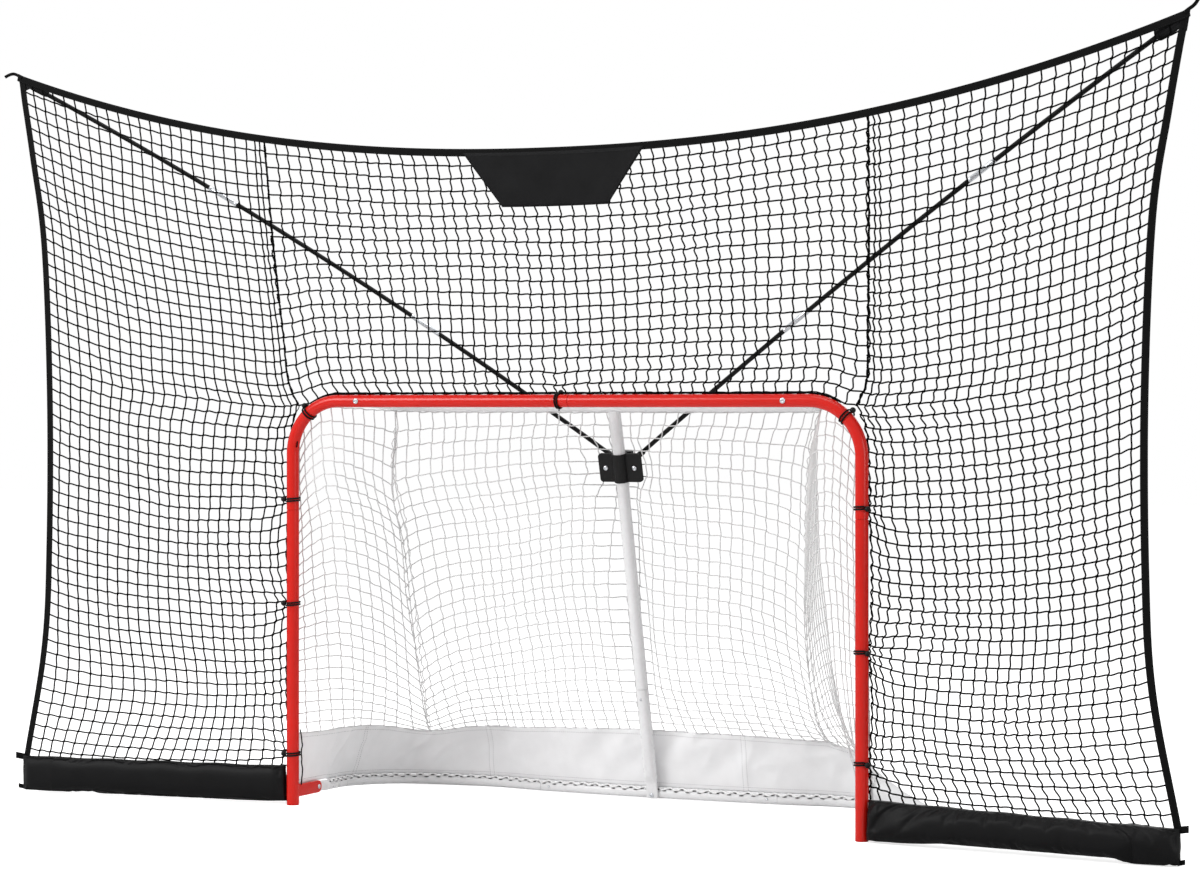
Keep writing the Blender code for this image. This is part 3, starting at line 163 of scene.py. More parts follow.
def new_finish(name, hex_colour, roughness, **sockets):
    """A plain shader for a real material, its node tree and its shader."""
    finish = bpy.data.materials.new(name)
    finish.use_nodes = True
    tree = finish.node_tree
    shader = tree.nodes["Principled BSDF"]
    shader.inputs["Base Color"].default_value = linear(hex_colour)
    shader.inputs["Roughness"].default_value = roughness
    for key, value in sockets.items():
        shader.inputs[key.replace("_", " ")].default_value = value
    return finish, tree, shader


def blend_colours(tree, share, deep_hex, hex_colour, low=0.35, high=0.65):
    """A colour that goes from the deep one to the main one as the share rises."""
    ramp = add_node(tree, "ShaderNodeValToRGB", {"Fac": share})
    for element, place, colour in zip(ramp.color_ramp.elements, (low, high), (deep_hex, hex_colour)):
        element.position = place
        element.color = linear(colour)
    return ramp.outputs["Color"]


def powder_coat(name, hex_colour, deep_hex, roughness):
    """Sprayed and baked powder paint: fine orange peel, faint clouds of colour and dull scuffs."""
    finish, tree, shader = new_finish(name, hex_colour, roughness, Specular_IOR_Level=0.26)
    place = add_node(tree, "ShaderNodeTexCoord").outputs["Object"]
    clouds = add_node(tree, "ShaderNodeTexNoise", {"Vector": place, "Scale": 7.0, "Detail": 4.0})
    tone = blend_colours(tree, clouds.outputs["Fac"], deep_hex, hex_colour)
    tree.links.new(tone, shader.inputs["Base Color"])
    scuffs = {"Vector": place, "Scale": 60.0, "Detail": 3.0, "Roughness": 0.5}
    scuffs = add_node(tree, "ShaderNodeTexNoise", scuffs)
    spread = {"Value": scuffs.outputs["Fac"], "From Min": 0.35, "From Max": 0.75}
    spread.update({"To Min": roughness, "To Max": roughness + 0.06})
    dull = add_node(tree, "ShaderNodeMapRange", spread)
    tree.links.new(dull.outputs["Result"], shader.inputs["Roughness"])
    # Orange peel is 1 to 2 mm across on the real paint. It is drawn at 3 mm, so that it shows.
    peel = add_node(tree, "ShaderNodeTexNoise", {"Vector": place, "Scale": 330.0, "Detail": 1.0})
    bump = {"Height": peel.outputs["Fac"], "Strength": 0.05, "Distance": 0.0003}
    bump = add_node(tree, "ShaderNodeBump", bump)
    tree.links.new(bump.outputs["Normal"], shader.inputs["Normal"])
    return finish


def finish_piece(name, mesh, finish, slot, replaces=(), body="goal", sharp=35):
    """Names, paints and hangs a finished mesh on its body."""
    mesh.name = name
    mesh.materials.clear()
    mesh.materials.append(finish)
    mesh.shade_smooth()
    if sharp:
        mesh.set_sharp_from_angle(angle=math.radians(sharp))
    piece = bpy.data.objects.new(name, mesh)
    bpy.context.scene.collection.objects.link(piece)
    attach(piece, body)
    if replaces:
        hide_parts(*replaces)
    return piece


def grid_piece(name, grid, finish, slot, wrap=False, caps=False, **others):
    """A piece from rows of points. Wrapped rows close into rings, and caps close the two ends."""
    grid = np.asarray(grid, float) + (0, GOAL_LINE_Y, 0)
    rows, columns = grid.shape[:2]
    closed = np.concatenate([grid, grid[:, :1]], axis=1) if wrap else grid
    u = np.append(0, np.cumsum(np.linalg.norm(np.diff(closed, axis=1), axis=2).mean(axis=0)))
    v = np.append(0, np.cumsum(np.linalg.norm(np.diff(closed, axis=0), axis=2).mean(axis=1)))
    faces, uvs = [], []
    for row in range(rows - 1):
        for column in range(closed.shape[1] - 1):
            after = (column + 1) % columns
            a, b = row * columns, (row + 1) * columns
            faces.append((a + column, a + after, b + after, b + column))
            uvs += [(u[column], v[row]), (u[column + 1], v[row])]
            uvs += [(u[column + 1], v[row + 1]), (u[column], v[row + 1])]
    if caps:
        faces += [tuple(range(columns)), tuple(range((rows - 1) * columns, rows * columns))]
        uvs += [(0.0, 0.0)] * (columns * 2)
    mesh = bpy.data.meshes.new(name)
    mesh.from_pydata(grid.reshape(-1, 3).tolist(), [], faces)
    mesh.uv_layers.new(name="UVMap").data.foreach_set("uv", np.asarray(uvs, np.float32).ravel())
    work = bmesh.new()
    work.from_mesh(mesh)
    bmesh.ops.remove_doubles(work, verts=work.verts, dist=1e-6)
    bmesh.ops.recalc_face_normals(work, faces=work.faces)
    work.to_mesh(mesh)
    work.free()
    return finish_piece(name, mesh, finish, slot, **others)


def rounded_path(corners, radius, steps):
    """Straight runs from corner to corner, with an arc at each corner between the ends."""
    corners = [Vector(corner) for corner in corners]
    path = [corners[0]]
    for before, corner, after in zip(corners, corners[1:], corners[2:]):
        back = (before - corner).normalized()
        ahead = (after - corner).normalized()
        half = back.angle(ahead) / 2
        centre = corner + (back + ahead).normalized() * radius / math.sin(half)
        start = corner + back * radius / math.tan(half) - centre
        end = corner + ahead * radius / math.tan(half) - centre
        sweep = start.angle(end)
        for f in np.arange(steps + 1) / steps:
            turned = start * math.sin((1 - f) * sweep) + end * math.sin(f * sweep)
            path.append(centre + turned / math.sin(sweep))
    return np.array([tuple(point) for point in [*path, corners[-1]]])


def headings(path):
    """The direction of a path at each of its points."""
    ahead = np.gradient(np.asarray(path, float), axis=0)
    return ahead / np.linalg.norm(ahead, axis=1)[:, None]


def ring_grid(path, ahead, thin, reference, sides=TUBE_SIDES, wide=None, square=None):
    """Rings round a path. wide and square turn the round ones into flat or boxy ones."""
    path, reference = np.asarray(path, float), np.asarray(reference, float)
    first = reference - ahead * (ahead @ reference)[:, None]
    first /= np.linalg.norm(first, axis=1)[:, None]
    second = np.cross(ahead, first)
    thin = np.broadcast_to(thin, len(path)).astype(float)
    wide = thin if wide is None else np.asarray(wide, float)
    power = (2 / np.asarray(square, float) if square is not None else np.ones(len(path)))[:, None]
    angle = np.arange(sides) * 2 * math.pi / sides
    cosine = np.sign(np.cos(angle)) * np.abs(np.cos(angle)) ** power
    sine = np.sign(np.sin(angle)) * np.abs(np.sin(angle)) ** power
    out = first[:, None] * (wide[:, None] * cosine)[..., None]
    return path[:, None] + out + second[:, None] * (thin[:, None] * sine)[..., None]


def with_ends(path, thin, wide, diameter, start, end):
    """Adds a tube's ends: open is a hollow rim, plug goes into the next tube, shut is closed."""
    full = diameter / 2
    inside = full - TUBE_WALL
    # Each end: how far inwards along the tube, and the radius there.
    kinds = {
        "open": [(SOCKET_DEPTH, inside), (RIM, inside), (0.0, inside + RIM), (0.0, full - RIM), (RIM, full)],
        "plug": [(-SOCKET_DEPTH, inside - RIM * 3), (-SOCKET_DEPTH + RIM, inside - RIM)],
        "shut": [(0.0, full * 0.3), (0.0, full - RIM), (RIM, full)],
    }
    kinds["plug"] += [(SEAM_GAP, inside - RIM), (SEAM_GAP, full - RIM), (SEAM_GAP + RIM, full)]
    ahead = headings(path)
    head, tail = kinds[start], kinds[end][::-1]
    centres = [path[0] + ahead[0] * back for back, _ in head], path[1:-1]
    centres = np.concatenate([*centres, [path[-1] - ahead[-1] * back for back, _ in tail]])
    ways = np.concatenate([[ahead[0]] * len(head), ahead[1:-1], [ahead[-1]] * len(tail)])
    sizes = []
    for size in (thin, wide):
        scale = size[0] / full, size[-1] / full
        first = [radius * scale[0] for _, radius in head]
        sizes.append(np.concatenate([first, size[1:-1], [radius * scale[1] for _, radius in tail]]))
    return centres, ways, *sizes


def tube_piece(name, path, diameter, reference, finish, slot, start="open", end="open"):
    """A round tube along a path that replaces the solid of the same name."""
    size = np.full(len(path), diameter / 2)
    centres, ways, thin, _ = with_ends(path, size, size, diameter, start, end)
    grid = ring_grid(centres, ways, thin, reference)
    return grid_piece(f"{name}_fine", grid, finish, slot, wrap=True, caps=True, replaces=[name])


def arc(centre, radius, start, end, steps):
    """Points of an arc in the plane, from one angle to the other, in degrees."""
    angles = np.radians(np.linspace(start, end, steps + 1))
    return [(centre[0] + radius * math.cos(a), centre[1] + radius * math.sin(a)) for a in angles]


def plate_mesh(outline, thickness, place, bevel):
    """A flat plate with rounded edges, its outline in the X and Y of its place."""
    data = bpy.data.curves.new("plate", "CURVE")
    data.dimensions = "2D"
    data.fill_mode = "BOTH"
    data.extrude = thickness / 2 - bevel
    data.bevel_depth = bevel
    data.bevel_resolution = 3
    data.offset = -bevel
    spline = data.splines.new("POLY")
    spline.points.add(len(outline) - 1)
    spline.use_cyclic_u = True
    for point, corner in zip(spline.points, outline):
        point.co = (corner[0], corner[1], 0.0, 1.0)
    carrier = bpy.data.objects.new("plate", data)
    bpy.context.scene.collection.objects.link(carrier)
    graph = bpy.context.evaluated_depsgraph_get()
    mesh = bpy.data.meshes.new_from_object(carrier.evaluated_get(graph))
    bpy.data.objects.remove(carrier)
    work = bmesh.new()
    work.from_mesh(mesh)
    bmesh.ops.remove_doubles(work, verts=work.verts, dist=1e-6)
    work.transform(Matrix.Translation((0, GOAL_LINE_Y, 0)) @ place)
    bmesh.ops.recalc_face_normals(work, faces=work.faces)
    work.to_mesh(mesh)
    work.free()
    return mesh


red_coat = powder_coat("red_powder_coated_steel", "D01B10", "C9180E", 0.20)
for side, name in SIDES:
    post_line = POST_X * side
    corners = [(CROSSBAR_SEAM, 0, CROSSBAR_Z), (post_line, 0, CROSSBAR_Z), (post_line, 0, POST_SEAM_HEIGHT)]
    path = rounded_path(corners, CORNER_RADIUS, 24)
    joint = "open" if side < 0 else "plug"
    tube_piece(f"corner_tube_{name}", path, RED_TUBE, (0, 1, 0), red_coat, "red_powder_coat", joint)
    path = np.linspace((post_line, 0, CAP_LIP + FIT), (post_line, 0, POST_SEAM_HEIGHT), 4)
    tube_piece(f"post_{name}", path, RED_TUBE, (0, 1, 0), red_coat, "red_powder_coat", end="plug")
    half = EAR_WIDTH / 2
    outline = [(RED_TUBE / 4, EAR_HEIGHT - half), *arc((EAR_BOLT_BACK, EAR_HEIGHT), half, -90, 90, 24)]
    outline.append((RED_TUBE / 4, EAR_HEIGHT + half))
    upright = Matrix(((0, 0, 1, post_line), (1, 0, 0, 0), (0, 1, 0, 0), (0, 0, 0, 1)))
    ear = plate_mesh(outline, EAR_THICKNESS, upright, bevel=EAR_ROUNDING)
    finish_piece(f"ear_{name}", ear, red_coat, "red_powder_coat", sharp=50)
    plug = RED_TUBE / 2 - TUBE_WALL - FIT
    flush = RED_TUBE / 2 - RIM
    proud = RED_TUBE / 2 + FIT
    # The cap, from its plug inside the post to its sole: height and radius.
    cap = [(CAP_PLUG, plug * 0.5), (CAP_PLUG, plug), (CAP_LIP, plug), (CAP_LIP, flush)]
    cap += [(CAP_LIP - RIM, proud), (RIM, proud), (0.0, flush), (0.0, 0.004)]
    path = np.array([(post_line, 0, height) for height, _ in cap])
    ways = np.broadcast_to((0.0, 0.0, 1.0), path.shape)
    grid = ring_grid(path, ways, [radius for _, radius in cap], (1, 0, 0))
    grid_piece(f"foot_cap_{name}_fine", grid, red_coat, "red_powder_coat", wrap=True, caps=True,
               replaces=[f"foot_cap_{name}"])

# White frame: 32 mm tubes for the base and the top rail and a 38 mm back post, pressed flat where
# a bolt goes through and cut to a saddle where they meet another tube. White powder coat.
WHITE_TUBE = 0.032
BACK_TUBE = 0.038
PRESSED_THICKNESS = 0.009
PRESSED_LENGTH = 0.045
PRESSED_BLEND = 0.036
PRESSED_SPREAD = 1.0
PRESSED_TO_BOLT = 0.014
BASE_SEAM = 0.405
# Points of a side tube: outwards from the post's middle, and back from the goal line.
BASE_SIDE_PLAN = ((0.0215, 0.270), (0.0345, 0.410), (-0.0235, 0.570), (-0.1335, 0.645), (-0.3335, 0.685))
BASE_JOINT_BACK = 0.652
BASE_REAR_BEND = (0.243, 0.635)
BASE_MIDDLE_BACK = 0.6263
JOINT_STRAIGHT = 0.012
RAIL_HALF = 0.722
RAIL_BACK = 0.330
RAIL_DROP = 0.0167
RAIL_RADIUS = 0.120
RAIL_BOLT = 0.700
BACK_POST_KNEE = (0.397, 0.967)
BACK_POST_SEAM_HEIGHT = 0.350
BACK_POST_COPE = 0.011
# How much of the run below the knee, and of the run above it, the bend takes up.
BACK_POST_BEND = (0.12, 0.35)
PRESSED_START = EAR_BOLT_BACK - PRESSED_TO_BOLT
PRESSED_END = PRESSED_START + PRESSED_LENGTH + PRESSED_BLEND
PRESSED_X = POST_X + EAR_THICKNESS / 2 + FIT + PRESSED_THICKNESS / 2


def path_lengths(path):
    """How far along a path each of its points is."""
    return np.append(0, np.cumsum(np.linalg.norm(np.diff(path, axis=0), axis=1)))


def along(path, shares):
    """Points at these shares of a path's length."""
    path = np.asarray(path, float)
    lengths = path_lengths(path)
    wanted = np.asarray(shares) * lengths[-1]
    return np.stack([np.interp(wanted, lengths, path[:, axis]) for axis in range(3)], axis=-1)


def smooth_path(points, steps):
    """A smooth curve through the points, with this many steps between two of them."""
    points = np.asarray(points, float)
    ends = np.concatenate([[2 * points[0] - points[1]], points, [2 * points[-1] - points[-2]]])
    path = []
    for a, b, c, d in zip(ends, ends[1:], ends[2:], ends[3:]):
        for f in np.arange(steps) / steps:
            bend = (2 * a - 5 * b + 4 * c - d) * f**2 + (3 * b - a - 3 * c + d) * f**3
            path.append(b + 0.5 * ((c - a) * f + bend))
    return np.array([*path, points[-1]])


def rail_height(y):
    """The top rail's middle falls a little from the crossbar to the back post."""
    return CROSSBAR_Z - RAIL_DROP * y / RAIL_BACK


def base_height(y):
    """The base tube's middle falls from the ear's bolt to the floor at the rearmost lobes."""
    fall = (EAR_HEIGHT - WHITE_TUBE / 2) / (BASE_SIDE_PLAN[-1][1] - EAR_BOLT_BACK)
    return EAR_HEIGHT - fall * (y - EAR_BOLT_BACK)


def base_side_path(side):
    """Middle of a side of the base, from its pressed end to the joint."""
    bend = [(POST_X + outward, back, 0) for outward, back in BASE_SIDE_PLAN]
    free = smooth_path([(PRESSED_X, PRESSED_END, 0), *bend, (BASE_SEAM, BASE_JOINT_BACK, 0)], 10)
    pressed = [(PRESSED_X, y, 0) for y in np.linspace(PRESSED_START, PRESSED_END, 12)[:-1]]
    return np.array([(x * side, y, base_height(y)) for x, y, _ in [*pressed, *free]])


def base_rear_path():
    """Middle of the base's rear tube, from the left joint to the right one."""
    half = [(BASE_SEAM, BASE_JOINT_BACK, 0), (*BASE_REAR_BEND, 0), (0, BASE_MIDDLE_BACK, 0)]
    plan = [(-x, y, z) for x, y, z in half] + half[-2::-1]
    return np.array([(x, y, base_height(y)) for x, y, _ in smooth_path(plan, 10)])


def back_post_point(height):
    """Middle of the back post, which leans forward from its foot to its knee and on to the rail."""
    knee_back, knee_height = BACK_POST_KNEE
    low, high = base_height(BASE_MIDDLE_BACK), rail_height(RAIL_BACK)
    foot_back = BASE_MIDDLE_BACK - (WHITE_TUBE + PRESSED_THICKNESS) / 2 - FIT
    back = np.interp(height, (low, knee_height, high), (foot_back, knee_back, RAIL_BACK))
    return np.array((0, back, height))


def pressed_tube(name, path, diameter, reference, end):
    """A white tube that starts pressed flat, with rounded edges."""
    f = np.clip((path_lengths(path) - PRESSED_LENGTH) / PRESSED_BLEND, 0, 1)
    f = f * f * (3 - 2 * f)
    thin = diameter / 2 * f + PRESSED_THICKNESS / 2 * (1 - f)
    wide = diameter / 2 * (f + PRESSED_SPREAD * (1 - f))
    centres, ways, thin, wide = with_ends(path, thin, wide, diameter, "shut", end)
    square = np.interp(np.linalg.norm(centres - path[0], axis=1), (0, PRESSED_LENGTH, 0.09), (5, 5, 2))
    grid = ring_grid(centres, ways, thin, reference, wide=wide, square=square)
    grid_piece(f"{name}_fine", grid, white_coat, "white_powder_coat", wrap=True, caps=True, replaces=[name])


white_coat = powder_coat("white_powder_coated_steel", "E9E9EA", "E5E5E6", 0.26)
rear_path = base_rear_path()
tube_piece("base_tube_rear", rear_path, WHITE_TUBE, (0, 0, 1), white_coat, "white_powder_coat")
base_joints = []
for side, name in SIDES:
    end, inner = (rear_path[0], rear_path[1]) if side < 0 else (rear_path[-1], rear_path[-2])
    outward = (end - inner) / np.linalg.norm(end - inner)
    base_joints.append((end, outward))
    path = np.array([*base_side_path(side)[:-1], end + outward * JOINT_STRAIGHT, end])
    pressed_tube(f"base_tube_{name}", path, WHITE_TUBE, (0, 0, 1), "plug")

rail_plan = [(-RAIL_BOLT, 0, 0), (-RAIL_HALF, RAIL_BACK, 0), (RAIL_HALF, RAIL_BACK, 0), (RAIL_BOLT, 0, 0)]
rail_path = np.array([(x, y, rail_height(y)) for x, y, _ in rounded_path(rail_plan, RAIL_RADIUS, 16)])
grid = ring_grid(rail_path, headings(rail_path), WHITE_TUBE / 2, (0, 0, 1))
for ring in (grid[0], grid[-1]):
    lift = np.clip(ring[:, 2] - CROSSBAR_Z, -RED_TUBE / 2, RED_TUBE / 2)
    ring[:, 1] = np.sqrt((RED_TUBE / 2 + FIT) ** 2 - lift**2)
grid_piece("top_rail_fine", grid, white_coat, "white_powder_coat", wrap=True, caps=True,
           replaces=["top_rail"])

post_foot = back_post_point(base_height(BASE_MIDDLE_BACK))
post_seam = back_post_point(BACK_POST_SEAM_HEIGHT)
post_up = (post_seam - post_foot) / np.linalg.norm(post_seam - post_foot)
post_facing = np.array((0, -post_up[2], post_up[1]))
start = post_foot - post_up * PRESSED_TO_BOLT
path = [start + post_up * run for run in np.linspace(0, PRESSED_LENGTH + PRESSED_BLEND, 14)]
pressed_tube("back_post_lower", np.array([*path, post_seam]), BACK_TUBE, (1, 0, 0), "open")
knee = np.array((0, *BACK_POST_KNEE))
top = back_post_point(rail_height(RAIL_BACK) - BACK_POST_COPE)
below, above = BACK_POST_BEND
bend = smooth_path([knee + (post_seam - knee) * below, knee, knee + (top - knee) * above], 6)
path = np.array([top, *bend[::-1], post_seam])
tube_piece("back_post_upper", path, BACK_TUBE, (1, 0, 0), white_coat, "white_powder_coat", "shut", "plug")

# Fasteners: zinc-plated dome-headed bolts with a hexagon socket, their nuts, and the steel spring
# buttons that lock the tube joints.
BOLT_SHANK = 0.006
BOLT_HEAD = 0.014
BOLT_HEAD_HEIGHT = 0.0045
RAIL_BOLT_HEAD = 0.017
BRACKET_SCREW_HEAD = 0.016
RAIL_BOLT_REACH = 0.034
HEX_SOCKET = 0.0062
NUT_WIDTH = 0.011
NUT_HEIGHT = 0.005
PAST_NUT = 0.002
BUTTON = 0.007
BUTTON_PROUD = 0.0035
BUTTON_LENGTH = 0.0135
BUTTON_TRAVEL = 0.005
BUTTON_HOLE = 0.0078
BUTTON_CROWN = 0.002
BUTTON_FROM_SEAM = 0.030

# Bright zinc: mirror-like and faintly blue, with fine brushed dullness.
zinc, tree, shader = new_finish("zinc_plated_steel", "C9CCD0", 0.24, Metallic=1.0)
place = add_node(tree, "ShaderNodeTexCoord").outputs["Object"]
wear = add_node(tree, "ShaderNodeTexNoise", {"Vector": place, "Scale": 700.0, "Detail": 3.0})
spread = {"Value": wear.outputs["Fac"], "From Min": 0.3, "From Max": 0.7, "To Min": 0.16, "To Max": 0.36}
dull = add_node(tree, "ShaderNodeMapRange", spread)
tree.links.new(dull.outputs["Result"], shader.inputs["Roughness"])


def turned_piece(name, profile, place, axis, slot, body="goal", sides=24):
    """A turned piece in the solid's place. Each profile point: radius, height, and 1 for hexagonal."""
    angle = np.arange(sides) * 2 * math.pi / sides
    flat = math.cos(math.pi / 6) / np.cos(angle % (math.pi / 3) - math.pi / 6)
    turn = np.array(Vector(axis).to_track_quat("Z", "Y").to_matrix())
    rows = []
    for radius, height, hexagonal in profile:
        reach = radius * (flat if hexagonal else 1.0)
        ring = np.stack([reach * np.cos(angle), reach * np.sin(angle), np.full(sides, height)], axis=1)
        rows.append(ring @ turn.T + np.asarray(place))
    grid_piece(f"{name}_fine", rows, zinc, slot, wrap=True, caps=True, replaces=[name], body=body)


def bolt_piece(name, place, axis, head, grip, nut=True):
    """A dome-headed bolt, its head's seat at place. axis points out of the head."""
    tall = BOLT_HEAD_HEIGHT
    socket = HEX_SOCKET / 2
    shank = BOLT_SHANK / 2
    across = NUT_WIDTH / 2
    profile = [(0.0003, tall * 0.45, 1), (socket * 0.95, tall * 0.45, 1), (socket, tall * 0.97, 1)]
    profile.append((socket + 0.0006, tall, 0))
    for degrees in (35, 50, 65, 80, 90):
        turn = math.radians(degrees)
        profile.append((head / 2 * math.sin(turn), tall * (0.25 + 0.75 * math.cos(turn)), 0))
    profile += [(head / 2, 0.0002, 0), (head / 2 - 0.0003, 0.0, 0), (shank, 0.0, 0)]
    if nut:
        profile += [(shank, -grip, 0), (across, -grip, 1), (across, -grip - NUT_HEIGHT, 1)]
        grip += NUT_HEIGHT + PAST_NUT
    profile += [(shank, -grip + PAST_NUT * nut, 0), (shank, -grip, 0), (0.0003, -grip, 0)]
    turned_piece(name, profile, place, axis, "bright_steel")


def refine(piece, kind, **settings):
    """Gives a piece the mesh that this modifier makes of it."""
    modifier = piece.modifiers.new(kind, kind)
    for key, value in settings.items():
        setattr(modifier, key, value)
    graph = bpy.context.evaluated_depsgraph_get()
    old = piece.data
    mesh = bpy.data.meshes.new_from_object(piece.evaluated_get(graph))
    piece.modifiers.clear()
    piece.data = mesh
    bpy.data.meshes.remove(old)


def drilled(piece, centre, facing, bottom, top):
    """Sinks a button's hole into a tube, from the tube's middle outwards."""
    turn = Vector(facing).to_track_quat("Z", "Y").to_matrix().to_4x4()
    middle = Vector(centre) + Vector((0, GOAL_LINE_Y, 0))
    place = Matrix.Translation(middle) @ turn @ Matrix.Translation((0, 0, (bottom + top) / 2))
    radius = BUTTON_HOLE / 2
    drill_mesh = bmesh.new()
    bmesh.ops.create_cone(drill_mesh, cap_ends=True, segments=32, radius1=radius, radius2=radius,
                          depth=top - bottom, matrix=place)
    mesh = bpy.data.meshes.new("drill")
    drill_mesh.to_mesh(mesh)
    drill_mesh.free()
    drill = bpy.data.objects.new("drill", mesh)
    bpy.context.scene.collection.objects.link(drill)
    refine(piece, "BOOLEAN", operation="DIFFERENCE", solver="EXACT", object=drill)
    bpy.data.objects.remove(drill)
    bpy.data.meshes.remove(mesh)


def button_piece(name, centre, facing, diameter, body, tube):
    """A spring button that stands out of its hole in a tube."""
    top = diameter / 2 + BUTTON_PROUD
    radius = BUTTON / 2
    profile = [(0.0002, top, 0)]
    for degrees in (30, 55, 75, 90):
        turn = math.radians(degrees)
        profile.append((radius * math.sin(turn), top - BUTTON_CROWN * (1 - math.cos(turn)), 0))
    profile += [(radius, top - BUTTON_LENGTH, 0), (0.0002, top - BUTTON_LENGTH, 0)]
    turned_piece(name, profile, centre, facing, "bright_steel", body=body)
    bottom = top - BUTTON_LENGTH - BUTTON_TRAVEL - FIT * 2
    drilled(bpy.data.objects[f"{tube}_fine"], centre, facing, bottom, top)


ear_grip = EAR_THICKNESS + PRESSED_THICKNESS + FIT * 3
for (side, name), (end, outward) in zip(SIDES, base_joints):
    seat = ((POST_X - EAR_THICKNESS / 2 - FIT) * side, EAR_BOLT_BACK, EAR_HEIGHT)
    bolt_piece(f"ear_bolt_{name}", seat, (-side, 0, 0), BOLT_HEAD, ear_grip)
    seat = (RAIL_BOLT * side, -RED_TUBE / 2 - FIT, CROSSBAR_Z)
    bolt_piece(f"rail_bolt_{name}", seat, (0, -1, 0), RAIL_BOLT_HEAD, RED_TUBE + RAIL_BOLT_REACH, nut=False)
    centre = end - outward * BUTTON_FROM_SEAM
    button_piece(f"snap_button_{name}", centre, (0, -1, 0), WHITE_TUBE, f"{name}_button", "base_tube_rear")
centre = post_seam - post_up * BUTTON_FROM_SEAM
button_piece("snap_button_post", centre, post_facing, BACK_TUBE, "post_button", "back_post_lower")
tube_middle = np.array((0, BASE_MIDDLE_BACK, base_height(BASE_MIDDLE_BACK)))
depth = (tube_middle - post_foot) @ -post_facing
seat = tube_middle + post_facing * (depth + PRESSED_THICKNESS / 2 + FIT)
grip = PRESSED_THICKNESS / 2 + FIT + depth + WHITE_TUBE / 2 + FIT * 2
bolt_piece("post_foot_bolt", seat, post_facing, BOLT_HEAD, grip)

# Pole bracket: two halves of a moulded black plastic clamp round the back post, with two screws.
# The rear half carries the pole sockets. Both keep their solids, with the edges rounded over them.
BRACKET_HEIGHT_AT = 1.0355
BRACKET_WALL = 0.004
BRACKET_SPLIT = 0.003
BRACKET_SCREW = 0.048
BRACKET_EDGE = 0.0014

# Glass-filled nylon: a fine spark-eroded grain, so it is dull black with soft highlights.
plastic, tree, shader = new_finish("black_moulded_nylon", "131313", 0.46, Specular_IOR_Level=0.20)
place = add_node(tree, "ShaderNodeTexCoord").outputs["Object"]
# The grain is 0.2 mm on the real moulding. It is drawn at 0.8 mm, so that it shows.
grain = add_node(tree, "ShaderNodeTexNoise", {"Vector": place, "Scale": 1250.0, "Detail": 2.0})
bump = {"Height": grain.outputs["Fac"], "Strength": 0.25, "Distance": 0.0003}
bump = add_node(tree, "ShaderNodeBump", bump)
tree.links.new(bump.outputs["Normal"], shader.inputs["Normal"])

for name in ("bracket_front", "bracket_rear"):
    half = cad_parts[name]
    half.data.materials.clear()
    half.data.materials.append(plastic)
    weld = half.modifiers.new("weld", "WELD")
    weld.merge_threshold = 1e-5
    edge = half.modifiers.new("edge", "BEVEL")
    edge.width = BRACKET_EDGE
    edge.segments = 2
    edge.limit_method = "ANGLE"
    edge.angle_limit = math.radians(50)
place = back_post_point(BRACKET_HEIGHT_AT)
up = back_post_point(rail_height(RAIL_BACK)) - knee
bracket_turn = Matrix.Rotation(math.atan2(-up[1], up[2]), 4, "X")
bracket_frame = Matrix.Translation(place) @ bracket_turn
screw_back = BRACKET_SPLIT / 2 + BRACKET_WALL + FIT
for side, name in SIDES:
    seat = bracket_frame @ Vector((BRACKET_SCREW * side, -screw_back, 0))
    facing = bracket_turn @ Vector((0, -1, 0))
    bolt_piece(f"bracket_screw_{name}", seat, facing, BRACKET_SCREW_HEAD, screw_back * 2)

# Poles: three black fibreglass sections each, pushed into bright steel ferrules, sprung into a
# slight bow from the bracket's sockets to the backstop's upper corners.
POLE = 0.0138
POLE_FOOT = (0.034, 0.412, 1.0638)
POLE_TIP = (1.840, -0.0751, 2.231)
POLE_PAST_TIP = 0.022
POLE_BOW = (0, 0.025, 0.035)
POLE_JOINTS = (0.325, 0.675)
FERRULE_LENGTH = 0.105
FERRULE_WALL = 0.0009
# A ferrule's outline, crimped 9 mm from each end: shares of its length and of its wall.
FERRULE_OUTLINE = (
    (0, -0.6), (0, 0.8), (0.02, 1), (0.075, 1), (0.085, 0.4), (0.095, 0.4), (0.105, 1), (0.5, 1),
    (0.895, 1), (0.905, 0.4), (0.915, 0.4), (0.925, 1), (0.98, 1), (1, 0.8), (1, -0.6),
)

# Pultruded fibreglass, painted black: smooth, with faint streaks along the pole.
fibreglass, tree, shader = new_finish("black_fibreglass_rod", "090909", 0.36, Specular_IOR_Level=0.14)
uv = add_node(tree, "ShaderNodeTexCoord").outputs["UV"]
streaks = add_node(tree, "ShaderNodeMapping", {"Vector": uv, "Scale": (700.0, 9.0, 1.0)})
streaks = add_node(tree, "ShaderNodeTexNoise", {"Vector": streaks.outputs[0], "Scale": 1.0, "Detail": 2.0})
spread = {"Value": streaks.outputs["Fac"], "From Min": 0.3, "From Max": 0.7, "To Min": 0.28, "To Max": 0.48}
dull = add_node(tree, "ShaderNodeMapRange", spread)
tree.links.new(dull.outputs["Result"], shader.inputs["Roughness"])


def pole_points(shares, side):
    """Points of the bowed pole, from its foot in the bracket (0) to its tip (1)."""
    f = np.asarray(shares)[:, None]
    foot, tip = np.array(POLE_FOOT), np.array(POLE_TIP)
    return (foot + (tip - foot) * f + np.array(POLE_BOW) * 4 * f * (1 - f)) * (side, 1, 1)


